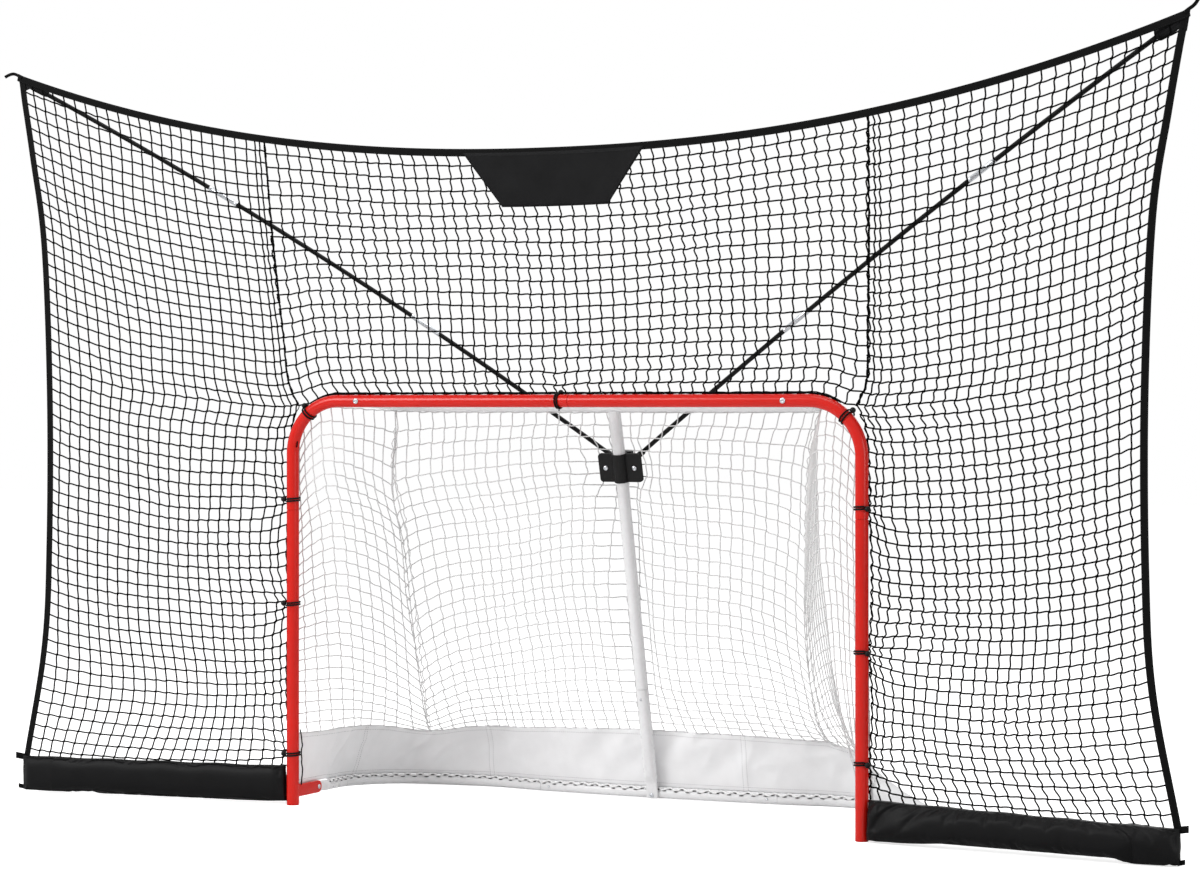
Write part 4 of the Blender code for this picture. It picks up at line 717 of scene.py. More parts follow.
pole_span = np.linalg.norm(np.subtract(POLE_TIP, POLE_FOOT))
inside = FERRULE_LENGTH / 2 / pole_span
shares = (0.0, *POLE_JOINTS, 1.0 + POLE_PAST_TIP / pole_span)
for side, name in SIDES:
    for index in range(3):
        path = pole_points(np.linspace(shares[index] + FIT / pole_span, shares[index + 1], 16), side)
        size = np.full(len(path), POLE / 2)
        centres, ways, thin, _ = with_ends(path, size, size, POLE, "shut", "shut")
        grid = ring_grid(centres, ways, thin, (0, 1, 0), sides=20)
        node = f"pole_{name}_{index + 1}"
        grid_piece(f"{node}_fine", grid, fibreglass, "black_fibreglass", wrap=True, caps=True,
                   replaces=[node])
    for index, share in enumerate(POLE_JOINTS):
        f, swell = np.array(FERRULE_OUTLINE).T
        path = pole_points(share + inside * (2 * f - 1), side)
        way = (path[-1] - path[0]) / np.linalg.norm(path[-1] - path[0])
        ways = np.broadcast_to(way, path.shape)
        grid = ring_grid(path, ways, POLE / 2 + FERRULE_WALL * swell, (0, 1, 0), sides=24)
        node = f"ferrule_{name}_{index + 1}"
        grid_piece(f"{node}_fine", grid, zinc, "bright_steel", wrap=True, caps=True, replaces=[node])

# Backstop webbing: 23 mm black polypropylene tape folded over the net's edge, along the top and
# down both sides, held by two rows of stitches. The side tapes end behind the top one.
CORNER_HALF = 1.902
CORNER_HEIGHT = 2.278
TOP_MIDDLE_HEIGHT = 1.978
TOP_CURVE = 2.2
SIDE_EDGE = ((0.004, 0.013), (0.050, 0.268), (0.094, 0.552), (0.115, 1.028), (0.113, 1.498), (0.094, 1.818))
SIDE_EDGE_FOOT = (0.024, 0.098)
BACKSTOP_FORWARD = 0.090
BACKSTOP_REACH = 0.800
WEBBING = 0.023
WEBBING_THICKNESS = 0.0032
SKIRT_HEIGHT = 0.105
STITCH_PITCH = 0.0055
STITCH_THREAD = 0.0011
STITCH_ROWS = (0.14, 0.86)
STITCH_SHARE = 0.78
# How far the top tape's ends are cut back, at its upper and at its lower edge.
TAPE_CUT = (0.006, 0.002)
# Below the corner, the side tapes step behind the top one and their stitches begin.
TUCK_FROM = 0.09
TUCK_RUN = 0.06
SIDE_STITCHES_FROM = 0.028


def backstop_y(x, z):
    """How far the backstop leans out in front of the mouth's plane, from the frame outwards."""
    beside = np.maximum(np.abs(x) - POST_X - RED_TUBE / 2, 0.0)
    above = np.maximum(z - CROSSBAR_Z - RED_TUBE / 2, 0.0)
    return -BACKSTOP_FORWARD * np.minimum(np.hypot(beside, above) / BACKSTOP_REACH, 1.0)


def top_edge(x):
    """Height of the backstop's top edge, which sweeps up to its corners."""
    return TOP_MIDDLE_HEIGHT + (CORNER_HEIGHT - TOP_MIDDLE_HEIGHT) * (np.abs(x) / CORNER_HALF) ** TOP_CURVE


def top_strip(x_from, x_to, drop, count):
    """A path under the backstop's top edge, this far below it."""
    x = np.linspace(x_from, x_to, count + 1)
    z = top_edge(x)
    return np.stack([x, backstop_y(x, z), z - drop], axis=1)


def side_strip(side, inset, steps=12):
    """A path down the backstop's side edge, this far inside it, to the skirt's top."""
    outer = CORNER_HALF - inset
    points = [(outer - back, -BACKSTOP_FORWARD, CORNER_HEIGHT - down) for back, down in SIDE_EDGE]
    points.append((outer - SIDE_EDGE_FOOT[0], -BACKSTOP_FORWARD, SIDE_EDGE_FOOT[1]))
    return smooth_path(points, steps) * (side, 1, 1)


def tape_rings(edge, other, thickness):
    """Rings of a flat tape with soft edges between two paths that have as many points."""
    middle, half = (np.asarray(edge) + other) / 2, (np.asarray(other) - edge) / 2
    normal = np.cross(np.gradient(middle, axis=0), half)
    normal /= np.linalg.norm(normal, axis=1)[:, None]
    angle = np.arange(12) * math.pi / 6 + math.pi / 12
    wide = np.sign(np.cos(angle)) * np.abs(np.cos(angle)) ** 0.45
    thick = np.sign(np.sin(angle)) * np.abs(np.sin(angle)) ** 0.6 * thickness / 2
    return middle[:, None] + half[:, None] * wide[:, None] + normal[:, None] * thick[:, None]


def webbing_finish(name, hex_colour, rib):
    """Woven tape: fine ribs across it, from the piece's own length, and loose yarn."""
    finish, tree, shader = new_finish(name, hex_colour, 0.62, Specular_IOR_Level=0.06)
    uv = add_node(tree, "ShaderNodeTexCoord").outputs["UV"]
    # The real ribs are 1 mm apart. They are drawn 2 mm apart, so that they show.
    ribs = add_node(tree, "ShaderNodeTexWave", {"Vector": uv, "Scale": 0.31 / rib}, bands_direction="Y")
    yarn = add_node(tree, "ShaderNodeTexNoise", {"Vector": uv, "Scale": 900.0, "Detail": 2.0})
    height = add_node(tree, "ShaderNodeMath", {0: ribs.outputs["Fac"], 1: yarn.outputs["Fac"]})
    bump = {"Height": height.outputs[0], "Strength": 0.5, "Distance": 0.0006}
    bump = add_node(tree, "ShaderNodeBump", bump)
    tree.links.new(bump.outputs["Normal"], shader.inputs["Normal"])
    return finish


def new_tree(name, sizes):
    """A Geometry Nodes tree with a mesh in and out, and named inputs for its sizes."""
    tree = bpy.data.node_groups.new(name, "GeometryNodeTree")
    tree.interface.new_socket("Geometry", in_out="INPUT", socket_type="NodeSocketGeometry")
    for label in sizes:
        tree.interface.new_socket(label, in_out="INPUT", socket_type="NodeSocketFloat")
    tree.interface.new_socket("Finish", in_out="INPUT", socket_type="NodeSocketMaterial")
    tree.interface.new_socket("Geometry", in_out="OUTPUT", socket_type="NodeSocketGeometry")
    return tree, add_node(tree, "NodeGroupInput").outputs


def grow(lines, edges, tree, marks=None, **inputs):
    """The plain mesh that a Geometry Nodes tree makes from these lines of points."""
    mesh = bpy.data.meshes.new(tree.name)
    mesh.from_pydata((np.asarray(lines) + (0, GOAL_LINE_Y, 0)).tolist(), np.asarray(edges).tolist(), [])
    if marks is not None:
        mesh.attributes.new("knot", "BOOLEAN", "POINT").data.foreach_set("value", marks)
    carrier = bpy.data.objects.new(tree.name, mesh)
    bpy.context.scene.collection.objects.link(carrier)
    modifier = carrier.modifiers.new(tree.name, "NODES")
    modifier.node_group = tree
    for item in tree.interface.items_tree:
        if item.in_out == "INPUT" and item.name in inputs:
            modifier[item.identifier] = inputs[item.name]
    graph = bpy.context.evaluated_depsgraph_get()
    grown = bpy.data.meshes.new_from_object(carrier.evaluated_get(graph))
    bpy.data.objects.remove(carrier)
    return grown


def joined_lines(paths):
    """Several paths as one list of points and the edges along each."""
    edges, start = [], 0
    for path in paths:
        index = np.arange(start, start + len(path) - 1)
        edges.append(np.stack([index, index + 1], axis=1))
        start += len(path)
    return np.concatenate(paths), np.concatenate(edges)


stitch_tree, given = new_tree("stitches", ("Pitch", "Thread"))
curve = add_node(stitch_tree, "GeometryNodeMeshToCurve", {"Mesh": given["Geometry"]})
curve = {"Curve": curve.outputs[0], "Length": given["Pitch"]}
curve = add_node(stitch_tree, "GeometryNodeResampleCurve", curve, mode="LENGTH")
tangent = add_node(stitch_tree, "GeometryNodeInputTangent")
turn = add_node(stitch_tree, "FunctionNodeAlignRotationToVector", {"Vector": tangent.outputs[0]}, axis="X")
bead = add_node(stitch_tree, "GeometryNodeMeshIcoSphere", {"Radius": 0.5, "Subdivisions": 1})
long_way = add_node(stitch_tree, "ShaderNodeMath", {0: given["Pitch"], 1: STITCH_SHARE}, operation="MULTIPLY")
size = {0: long_way.outputs[0], 1: given["Thread"], 2: given["Thread"]}
size = add_node(stitch_tree, "ShaderNodeCombineXYZ", size)
beads = {"Points": curve.outputs[0], "Instance": bead.outputs[0]}
beads.update({"Rotation": turn.outputs[0], "Scale": size.outputs[0]})
beads = add_node(stitch_tree, "GeometryNodeInstanceOnPoints", beads)
real = add_node(stitch_tree, "GeometryNodeRealizeInstances", {0: beads.outputs[0]})
painted = {"Geometry": real.outputs[0], "Material": given["Finish"]}
painted = add_node(stitch_tree, "GeometryNodeSetMaterial", painted)
add_node(stitch_tree, "NodeGroupOutput", {0: painted.outputs[0]})


def stitched(name, paths, finish, slot, pitch=STITCH_PITCH, thread=STITCH_THREAD):
    """Rows of stitches along these paths, as one piece."""
    lines, edges = joined_lines(paths)
    mesh = grow(lines, edges, stitch_tree, Pitch=pitch, Thread=thread, Finish=finish)
    return finish_piece(name, mesh, finish, slot, sharp=0)


webbing = webbing_finish("black_polypropylene_webbing", "0C0C0C", 0.002)
# Bonded polyester thread: a little paler than the cloth, with a faint sheen.
black_thread, _, _ = new_finish("black_polyester_thread", "1A1A1C", 0.55, Specular_IOR_Level=0.2)
upper = top_strip(-CORNER_HALF, CORNER_HALF, 0, 160)
lower = top_strip(-CORNER_HALF, CORNER_HALF, WEBBING, 160)
for end, way in ((0, 1), (-1, -1)):
    upper[end, 0] += TAPE_CUT[0] * way
    lower[end, 0] += TAPE_CUT[1] * way
grid_piece("border_top_fine", tape_rings(upper, lower, WEBBING_THICKNESS), webbing, "black_webbing",
           wrap=True, caps=True, replaces=["border_top"])
forward = np.array((0, -WEBBING_THICKNESS / 2 - STITCH_THREAD * 0.15, 0))
seams = [upper + (lower - upper) * share + forward for share in STITCH_ROWS]
for side, name in SIDES:
    outer, inner = side_strip(side, 0.001), side_strip(side, WEBBING)
    tucked = np.clip((outer[:, 2] - CORNER_HEIGHT + TUCK_FROM) / TUCK_RUN, 0, 1)
    behind = tucked[:, None] * (0, WEBBING_THICKNESS, 0)
    strip = tape_rings(outer + behind, inner + behind, WEBBING_THICKNESS)
    grid_piece(f"border_{name}_fine", strip, webbing, "black_webbing", wrap=True, caps=True,
               replaces=[f"border_{name}"])
    below = outer[:, 2] < CORNER_HEIGHT - SIDE_STITCHES_FROM
    seams += [(outer + behind + (inner - outer) * share + forward)[below] for share in STITCH_ROWS]
stitched("border_stitches", seams, black_thread, "black_webbing")

# Banner: a plain trapezoid of black coated cloth sewn under the middle of the top border, hemmed
# on its three free sides. It hangs from the border, so it ripples a little.
BANNER_TOP = 0.594
BANNER_LOW = 0.345
BANNER_TALL = 0.160
BANNER_THICKNESS = 0.002


def woven_cloth(name, hex_colour, deep_hex, thread, roughness, weave, shine):
    """Plain weave from the piece's own lengths: threads over and under, and faint clouds of tone."""
    finish, tree, shader = new_finish(name, hex_colour, roughness, Specular_IOR_Level=shine)
    coordinates = add_node(tree, "ShaderNodeTexCoord").outputs
    clouds = {"Vector": coordinates["Object"], "Scale": 14.0, "Detail": 5.0}
    clouds = add_node(tree, "ShaderNodeTexNoise", clouds)
    tone = blend_colours(tree, clouds.outputs["Fac"], deep_hex, hex_colour)
    tree.links.new(tone, shader.inputs["Base Color"])
    threads = {"Vector": coordinates["UV"], "Scale": 0.31 / thread}
    warp = add_node(tree, "ShaderNodeTexWave", threads, bands_direction="X")
    weft = add_node(tree, "ShaderNodeTexWave", threads, bands_direction="Y")
    over = {0: warp.outputs["Fac"], 1: weft.outputs["Fac"]}
    over = add_node(tree, "ShaderNodeMath", over, operation="MULTIPLY")
    bump = {"Height": over.outputs[0], "Strength": weave, "Distance": thread * 0.3}
    bump = add_node(tree, "ShaderNodeBump", bump)
    tree.links.new(bump.outputs["Normal"], shader.inputs["Normal"])
    return finish


# Coated polyester: black with a soft sheen. Its threads are 0.5 mm apart, and drawn 1.6 mm apart,
# so that they show.
black_oxford = woven_cloth("black_coated_oxford", "121213", "0D0D0E", 0.0016, 0.55, 0.45, 0.10)
u, v = np.meshgrid(np.linspace(0, 1, 61), np.linspace(0, 1, 19))
half = (BANNER_TOP + (BANNER_LOW - BANNER_TOP) * v) / 2
x = half * (2 * u - 1)
z = top_edge(x) - WEBBING / 2 - BANNER_TALL * v
ripple = 0.0016 * np.sin(11 * x + 1.3) * v + 0.0010 * np.sin(37 * x + 4 * v) * v * (1 - v) * 2
y = backstop_y(x, z) - (WEBBING_THICKNESS + BANNER_THICKNESS) / 2 - 0.0004 + ripple
sheet_points = np.stack([x, y, z], axis=-1)
banner = grid_piece("banner_cloth", sheet_points, black_oxford, "black_oxford_cloth", replaces=["banner"])
refine(banner, "SOLIDIFY", thickness=BANNER_THICKNESS, offset=0.0)
front = sheet_points - (0, BANNER_THICKNESS / 2 + STITCH_THREAD * 0.2, 0)
hem = [front[1:-1, 1], front[1:-1, -2], front[-2, 1:-1], front[1, 1:-1]]
stitched("banner_stitches", hem, black_thread, "black_oxford_cloth")

# Corner pockets: a sleeve of black cloth over each pole's tip, sewn to a small patch behind the
# borders, with a short tail of narrow tape to pull it on by.
POCKET_LENGTH = 0.052
POCKET_WIDTHS = {"left": 0.023, "right": 0.040}
POCKET_DEPTH = 0.019
POCKET_OVER = 0.036
POCKET_SIDES = 28
POCKET_SQUARE = 2.6
# A pocket's rings: how far past the pole's tip, and their shares of its depth and of its width.
POCKET_RINGS = (
    (-POCKET_LENGTH, 0.96, 0.80), (-0.030, 1.0, 0.92), (-0.01, 1.0, 1.0), (0.012, 0.9, 1.0),
    (0.026, 0.55, 0.9), (POCKET_OVER, 0.15, 0.7),
)
PATCH_ACROSS = 0.064
PATCH_DOWN = 0.058
PATCH_INSET = 0.003
PATCH_BEHIND = 0.0052
PATCH_THICKNESS = 0.0016
# Where the patch's free corner is: shares of its width and of its height.
PATCH_CUT = (0.72, 0.78)
TAIL_WIDTH = 0.010
TAIL_THICKNESS = 0.0022
# Each tail's middle: outwards from the corner, and up.
TAIL_LINES = {
    "left": ((-0.020, -0.014), (0.000, -0.003), (0.014, 0.000), (0.029, -0.003), (0.044, -0.009)),
    "right": ((-0.020, -0.014), (-0.006, -0.004), (0.006, 0.004), (0.014, 0.012), (0.021, 0.023)),
}

for side, name in SIDES:
    past, thin, wide = np.array(POCKET_RINGS).T
    path = pole_points(1 + past / pole_span, side)
    thin = thin * POCKET_DEPTH / 2
    wide = wide * POCKET_WIDTHS[name] / 2
    grid = ring_grid(path, headings(path), thin, (0.54 * side, 0, -0.84), sides=POCKET_SIDES, wide=wide,
                     square=[POCKET_SQUARE] * len(path))
    fold = 0.0012 * np.sin(np.arange(POCKET_SIDES) * 2.1)[None, :, None] * (0.3, -1, 0.3)
    pocket = grid_piece(f"corner_pocket_{name}_fine", grid + fold, black_oxford, "black_oxford_cloth",
                        wrap=True, caps=True, replaces=[f"corner_pocket_{name}"])
    refine(pocket, "SUBSURF", levels=1, render_levels=1)
    across, down = CORNER_HALF - PATCH_INSET, CORNER_HEIGHT - PATCH_INSET
    slope = (top_edge(CORNER_HALF) - top_edge(CORNER_HALF - PATCH_ACROSS)) / PATCH_ACROSS
    outline = [(across, down), (across - PATCH_ACROSS, down - PATCH_ACROSS * slope)]
    outline += [(across - PATCH_ACROSS * PATCH_CUT[0], down - PATCH_DOWN * PATCH_CUT[1])]
    outline += [(across - 0.010, down - PATCH_DOWN)]
    outline = [(x * side, z) for x, z in outline]
    upright = Matrix(((1, 0, 0, 0), (0, 0, -1, -BACKSTOP_FORWARD + PATCH_BEHIND), (0, 1, 0, 0), (0, 0, 0, 1)))
    patch = plate_mesh(outline, PATCH_THICKNESS, upright, bevel=0.0006)
    finish_piece(f"corner_patch_{name}", patch, black_oxford, "black_oxford_cloth", sharp=50)
    tail_y = -BACKSTOP_FORWARD - 0.003
    line = [(CORNER_HALF + out, tail_y, CORNER_HEIGHT + up) for out, up in TAIL_LINES[name]]
    line = smooth_path(line, 5)
    twist = np.linspace(0.2, 0.8, len(line))[:, None]
    quarter_turn = np.array(((0, 0, -1), (0, 1, 0), (1, 0, 0)))
    edge = headings(line) @ quarter_turn * (1 - twist * 0.3) + (0, 0.5, 0) * twist
    edge *= TAIL_WIDTH / 2 / np.linalg.norm(edge, axis=1)[:, None]
    strip = tape_rings((line + edge) * (side, 1, 1), (line - edge) * (side, 1, 1), TAIL_THICKNESS)
    grid_piece(f"corner_tail_{name}", strip, webbing, "black_webbing", wrap=True, caps=True)

# Skirts: two bolsters of black coated cloth filled with wadding, sewn shut at both ends. They stand
# on the floor beside the posts and weigh the backstop down. Each has two tabs at its outer end.
SKIRT_INNER = 0.9545
SKIRT_OUTER = 1.876
SKIRT_HALF_DEPTH = 0.031
SKIRT_TAPER = 0.040
SKIRT_CELLS = 150
SKIRT_SIDES = 56
SKIRT_SQUARE = 2.8
SKIRT_FORWARD = 0.004
SEAM_REACH = 0.0022
SWELL = 0.010
SWELL_FRAMES = 20
# Each tab: how tall it is, and how far it stands out.
SKIRT_TABS = {"upper": (0.020, 0.022), "lower": (0.014, 0.012)}
TAB_FROM_EDGE = 0.006
TAB_SEWN_IN = 0.010
# Heights of each skirt's bottom, its top at the post and its top at the outer end.
SKIRT_LEVELS = {"left": (0.009, 0.1195, 0.1170), "right": (0.002, 0.1180, 0.1020)}


def swollen(piece, pins, pressure, slack):
    """Lets a closed piece of cloth swell from inside. It keeps the pins, and no point goes far."""
    start = np.array([tuple(vertex.co) for vertex in piece.data.vertices])
    group = piece.vertex_groups.new(name="pins")
    for index, weight in enumerate(pins):
        group.add([index], float(weight), "REPLACE")
    cloth = piece.modifiers.new("cloth", "CLOTH")
    cloth.settings.quality = 6
    cloth.settings.mass = 0.15
    cloth.settings.tension_stiffness = 12
    cloth.settings.compression_stiffness = 12
    cloth.settings.bending_stiffness = 0.25
    cloth.settings.shrink_min = -slack
    cloth.settings.use_pressure = True
    cloth.settings.uniform_pressure_force = pressure
    cloth.settings.vertex_group_mass = "pins"
    cloth.settings.effector_weights.gravity = 0
    for number in range(1, SWELL_FRAMES + 1):
        bpy.context.scene.frame_set(number)
    graph = bpy.context.evaluated_depsgraph_get()
    swelled = piece.evaluated_get(graph).data
    moved = np.array([tuple(vertex.co) for vertex in swelled.vertices]) - start
    far = np.linalg.norm(moved, axis=1, keepdims=True)
    moved *= np.minimum(1, SWELL / np.maximum(far, 1e-9))
    piece.modifiers.clear()
    piece.vertex_groups.clear()
    bpy.context.scene.frame_set(1)
    return start + moved


# Thicker coated cloth than the banner's: deep black, shining softly where light grazes it. Its
# threads are drawn 1.8 mm apart, so that they show.
black_cover = woven_cloth("black_bolster_cloth", "0B0B0C", "070708", 0.0018, 0.45, 0.30, 0.12)
for side, name in SIDES:
    low, top_inner, top_outer = SKIRT_LEVELS[name]
    f = np.linspace(0, 1, SKIRT_CELLS + 1)
    x = SKIRT_INNER + (SKIRT_OUTER - SKIRT_INNER) * f
    high = top_inner + (top_outer - top_inner) * f + 0.0012 * np.sin(f * 31)
    path = np.stack([x * side, backstop_y(x, 0 * x) - SKIRT_FORWARD, (low + high) / 2], axis=1)
    from_end = np.minimum(x - SKIRT_INNER, SKIRT_OUTER - x) / SKIRT_TAPER
    depth = SKIRT_HALF_DEPTH * (1 - np.clip(1 - from_end, 0, 1) ** 2.2) ** 0.6
    wide = (high - low) / 2
    ways = np.broadcast_to((float(side), 0.0, 0.0), path.shape)
    grid = ring_grid(path, ways, depth, (0, 0, 1), sides=SKIRT_SIDES, wide=wide,
                     square=[SKIRT_SQUARE] * len(f))
    skirt = grid_piece(f"skirt_{name}_fine", grid, black_cover, "black_oxford_cloth", wrap=True,
                       replaces=[f"skirt_{name}"], sharp=0)
    points = np.array([tuple(vertex.co) for vertex in skirt.data.vertices])
    f = (np.abs(points[:, 0]) - SKIRT_INNER) / (SKIRT_OUTER - SKIRT_INNER)
    seam = top_inner + (top_outer - top_inner) * f
    pins = (np.minimum(f, 1 - f) < 0.004) | (np.abs(points[:, 2] - seam) < SEAM_REACH)
    points = swollen(skirt, pins, pressure=4, slack=0.045)
    points[:, 2] = np.maximum(points[:, 2], low)
    skirt.data.vertices.foreach_set("co", points.astype(np.float32).ravel())
    skirt.data.update()
    refine(skirt, "SUBSURF", levels=1, render_levels=1)
    tab_heights = {"upper": top_outer - TAB_FROM_EDGE, "lower": low + TAB_FROM_EDGE}
    for label, (tall, out) in SKIRT_TABS.items():
        f = np.linspace(0, 1, 9)[:, None]
        y = float(backstop_y(SKIRT_OUTER, 0.0)) - SKIRT_FORWARD
        sewn_end = np.array((SKIRT_OUTER - TAB_SEWN_IN, y, tab_heights[label]))
        line = sewn_end + f * (out + TAB_SEWN_IN, -0.004, 0.006)
        line[:, 1] += 0.002 * np.sin(f[:, 0] * 5)
        half = np.array((0, 0, tall / 2))
        strip = tape_rings((line + half) * (side, 1, 1), (line - half) * (side, 1, 1), TAIL_THICKNESS)
        grid_piece(f"skirt_tab_{name}_{label}", strip, webbing, "black_webbing", wrap=True, caps=True)

# Backstop net: 39 mm meshes of black knotted twine in three panels, laced together above the
# posts. It hangs from the border, lies along the frame and is drawn in at each ball tie.
BLACK_TWINE = 0.0050
BLACK_EDGE_CORD = 0.0030
SEAM_CORD = 0.0052
SEAM_LINE = ((0.0515, 2.040), (0.0395, 1.700), (0.0245, 1.450), (0.0160, 1.300), (-0.0170, 1.224))
POST_EDGE_LINE = ((-0.0170, 1.224), (0.0085, 1.165), (0.0160, 1.090), (0.0190, 1.020))
POST_EDGE_OUT = 0.0190
POST_EDGE_SLACK = 0.0090
BEHIND_POST_FACE = 0.010
POST_TIES = {"left": (0.938, 0.619, 0.158), "right": (0.934, 0.529, 0.216)}
TIE_REACH = 0.15
TIE_PULL = 0.6
BEHIND_TAPE = 0.0035
CROSSBAR_TIE = -0.020
WING_MESHES = (24, 55)
CENTRE_MESHES = (50, 19)
# The wings are drawn inwards above the skirts: how far, at which height and over what height.
WING_SHEAR = 0.055
SHEAR_HEIGHT = 0.34
SHEAR_REACH = 0.19
# How far the wings sag at their top, and how much more at their foot.
WING_SAG = (0.018, 0.030)
WING_SLANTS = {"left": 0.0008, "right": 0.0026}

net_tree, given = new_tree("knotted_net", ("Twine", "Knot"))
curve = add_node(net_tree, "GeometryNodeMeshToCurve", {"Mesh": given["Geometry"]})
length = add_node(net_tree, "GeometryNodeSplineParameter").outputs["Length"]
curve = {"Geometry": curve.outputs[0], "Name": "along", "Value": length}
curve = add_node(net_tree, "GeometryNodeStoreNamedAttribute", curve, data_type="FLOAT", domain="POINT")
ring = add_node(net_tree, "GeometryNodeCurvePrimitiveCircle", {"Resolution": 5, "Radius": given["Twine"]})
factor = add_node(net_tree, "GeometryNodeSplineParameter").outputs["Factor"]
ring = {"Geometry": ring.outputs[0], "Name": "around", "Value": factor}
ring = add_node(net_tree, "GeometryNodeStoreNamedAttribute", ring, data_type="FLOAT", domain="POINT")
strands = {"Curve": curve.outputs[0], "Profile Curve": ring.outputs[0], "Fill Caps": True}
strands = add_node(net_tree, "GeometryNodeCurveToMesh", strands)
marked = add_node(net_tree, "GeometryNodeInputNamedAttribute", {"Name": "knot"}, data_type="BOOLEAN")
ball = add_node(net_tree, "GeometryNodeMeshIcoSphere", {"Radius": given["Knot"], "Subdivisions": 1})
turn = {"Seed": 7, "Min": (-0.5, -0.5, 0.0), "Max": (0.5, 0.5, 6.28)}
turn = add_node(net_tree, "FunctionNodeRandomValue", turn, data_type="FLOAT_VECTOR")
knots = {"Points": given["Geometry"], "Instance": ball.outputs[0], "Selection": marked.outputs["Attribute"]}
knots.update({"Rotation": turn.outputs["Value"], "Scale": (1.3, 0.95, 0.8)})
knots = add_node(net_tree, "GeometryNodeInstanceOnPoints", knots)
knots = add_node(net_tree, "GeometryNodeRealizeInstances", {0: knots.outputs[0]})
whole = add_node(net_tree, "GeometryNodeJoinGeometry", {0: strands.outputs[0]})
net_tree.links.new(knots.outputs[0], whole.inputs[0])
painted = {"Geometry": whole.outputs[0], "Material": given["Finish"]}
painted = add_node(net_tree, "GeometryNodeSetMaterial", painted)
add_node(net_tree, "NodeGroupOutput", {0: painted.outputs[0]})


def twine_finish(name, hex_colour, deep_hex, pitch, shine):
    """Twisted twine: three plies that wind round it, from its own length. Dull. Its colour carries painted
    shade: darker in the grooves between the plies, where the bump is low.
    """
    finish, tree, shader = new_finish(name, hex_colour, 0.7, Specular_IOR_Level=shine)
    run = add_node(tree, "ShaderNodeAttribute", attribute_name="along").outputs["Fac"]
    round_way = add_node(tree, "ShaderNodeAttribute", attribute_name="around").outputs["Fac"]
    turns = add_node(tree, "ShaderNodeMath", {0: run, 1: 2 * math.pi / pitch}, operation="MULTIPLY")
    angle = add_node(tree, "ShaderNodeMath", {0: round_way, 1: 2 * math.pi * 3}, operation="MULTIPLY")
    twist = add_node(tree, "ShaderNodeMath", {0: turns.outputs[0], 1: angle.outputs[0]})
    ply = add_node(tree, "ShaderNodeMath", {0: twist.outputs[0]}, operation="SINE")
    share = add_node(tree, "ShaderNodeMapRange", {"Value": ply.outputs[0], "From Min": -1.0, "From Max": 1.0})
    # Painted shade: the deep colour goes into the grooves between the plies, following the bump's height.
    tone = blend_colours(tree, share.outputs["Result"], deep_hex, hex_colour, 0.0, 1.0)
    tree.links.new(tone, shader.inputs["Base Color"])
    bump = add_node(tree, "ShaderNodeBump", {"Height": ply.outputs[0], "Strength": 0.4, "Distance": 0.0003})
    tree.links.new(bump.outputs["Normal"], shader.inputs["Normal"])
    return finish


def spread_grid(top, bottom, left, right, columns, rows):
    """Points of cloth held along four paths that meet at its corners, row by row."""
    u, v = np.linspace(0, 1, columns + 1), np.linspace(0, 1, rows + 1)
    across_top, across_low = along(top, u), along(bottom, u)
    down_left, down_right = along(left, v), along(right, v)
    u, v = u[None, :, None], v[:, None, None]
    rows_part = across_top[None] * (1 - v) + across_low[None] * v
    columns_part = down_left[:, None] * (1 - u) + down_right[:, None] * u
    top_part = across_top[0] * (1 - u) + across_top[-1] * u
    low_part = across_low[0] * (1 - u) + across_low[-1] * u
    return rows_part + columns_part - top_part * (1 - v) - low_part * v


def shares_of(grid):
    """How far along its rows and down its columns each point of a grid is, from 0 to 1."""
    rows, columns = grid.shape[:2]
    return np.linspace(0, 1, columns)[None, :], np.linspace(0, 1, rows)[:, None]


def slow_noise(shape, waves, seed):
    """Smooth waves over a grid, about -1 to 1, the same for a seed."""
    random = np.random.default_rng(seed)
    row, column = np.meshgrid(np.arange(shape[0]), np.arange(shape[1]), indexing="ij")
    total = np.zeros(shape)
    for _ in range(6):
        a, b = random.uniform(-1, 1, 2) * 2 * math.pi / waves
        total += np.sin(a * row + b * column + random.uniform(0, 2 * math.pi))
    return total / 2.5


def drawn_in(grid, place, reach, strength):
    """Gathers a net's knots towards a tie."""
    offset = np.asarray(place) - grid
    far = np.linalg.norm(offset, axis=-1, keepdims=True)
    return grid + offset * np.clip(1 - far / reach, 0, 1) ** 1.5 * strength


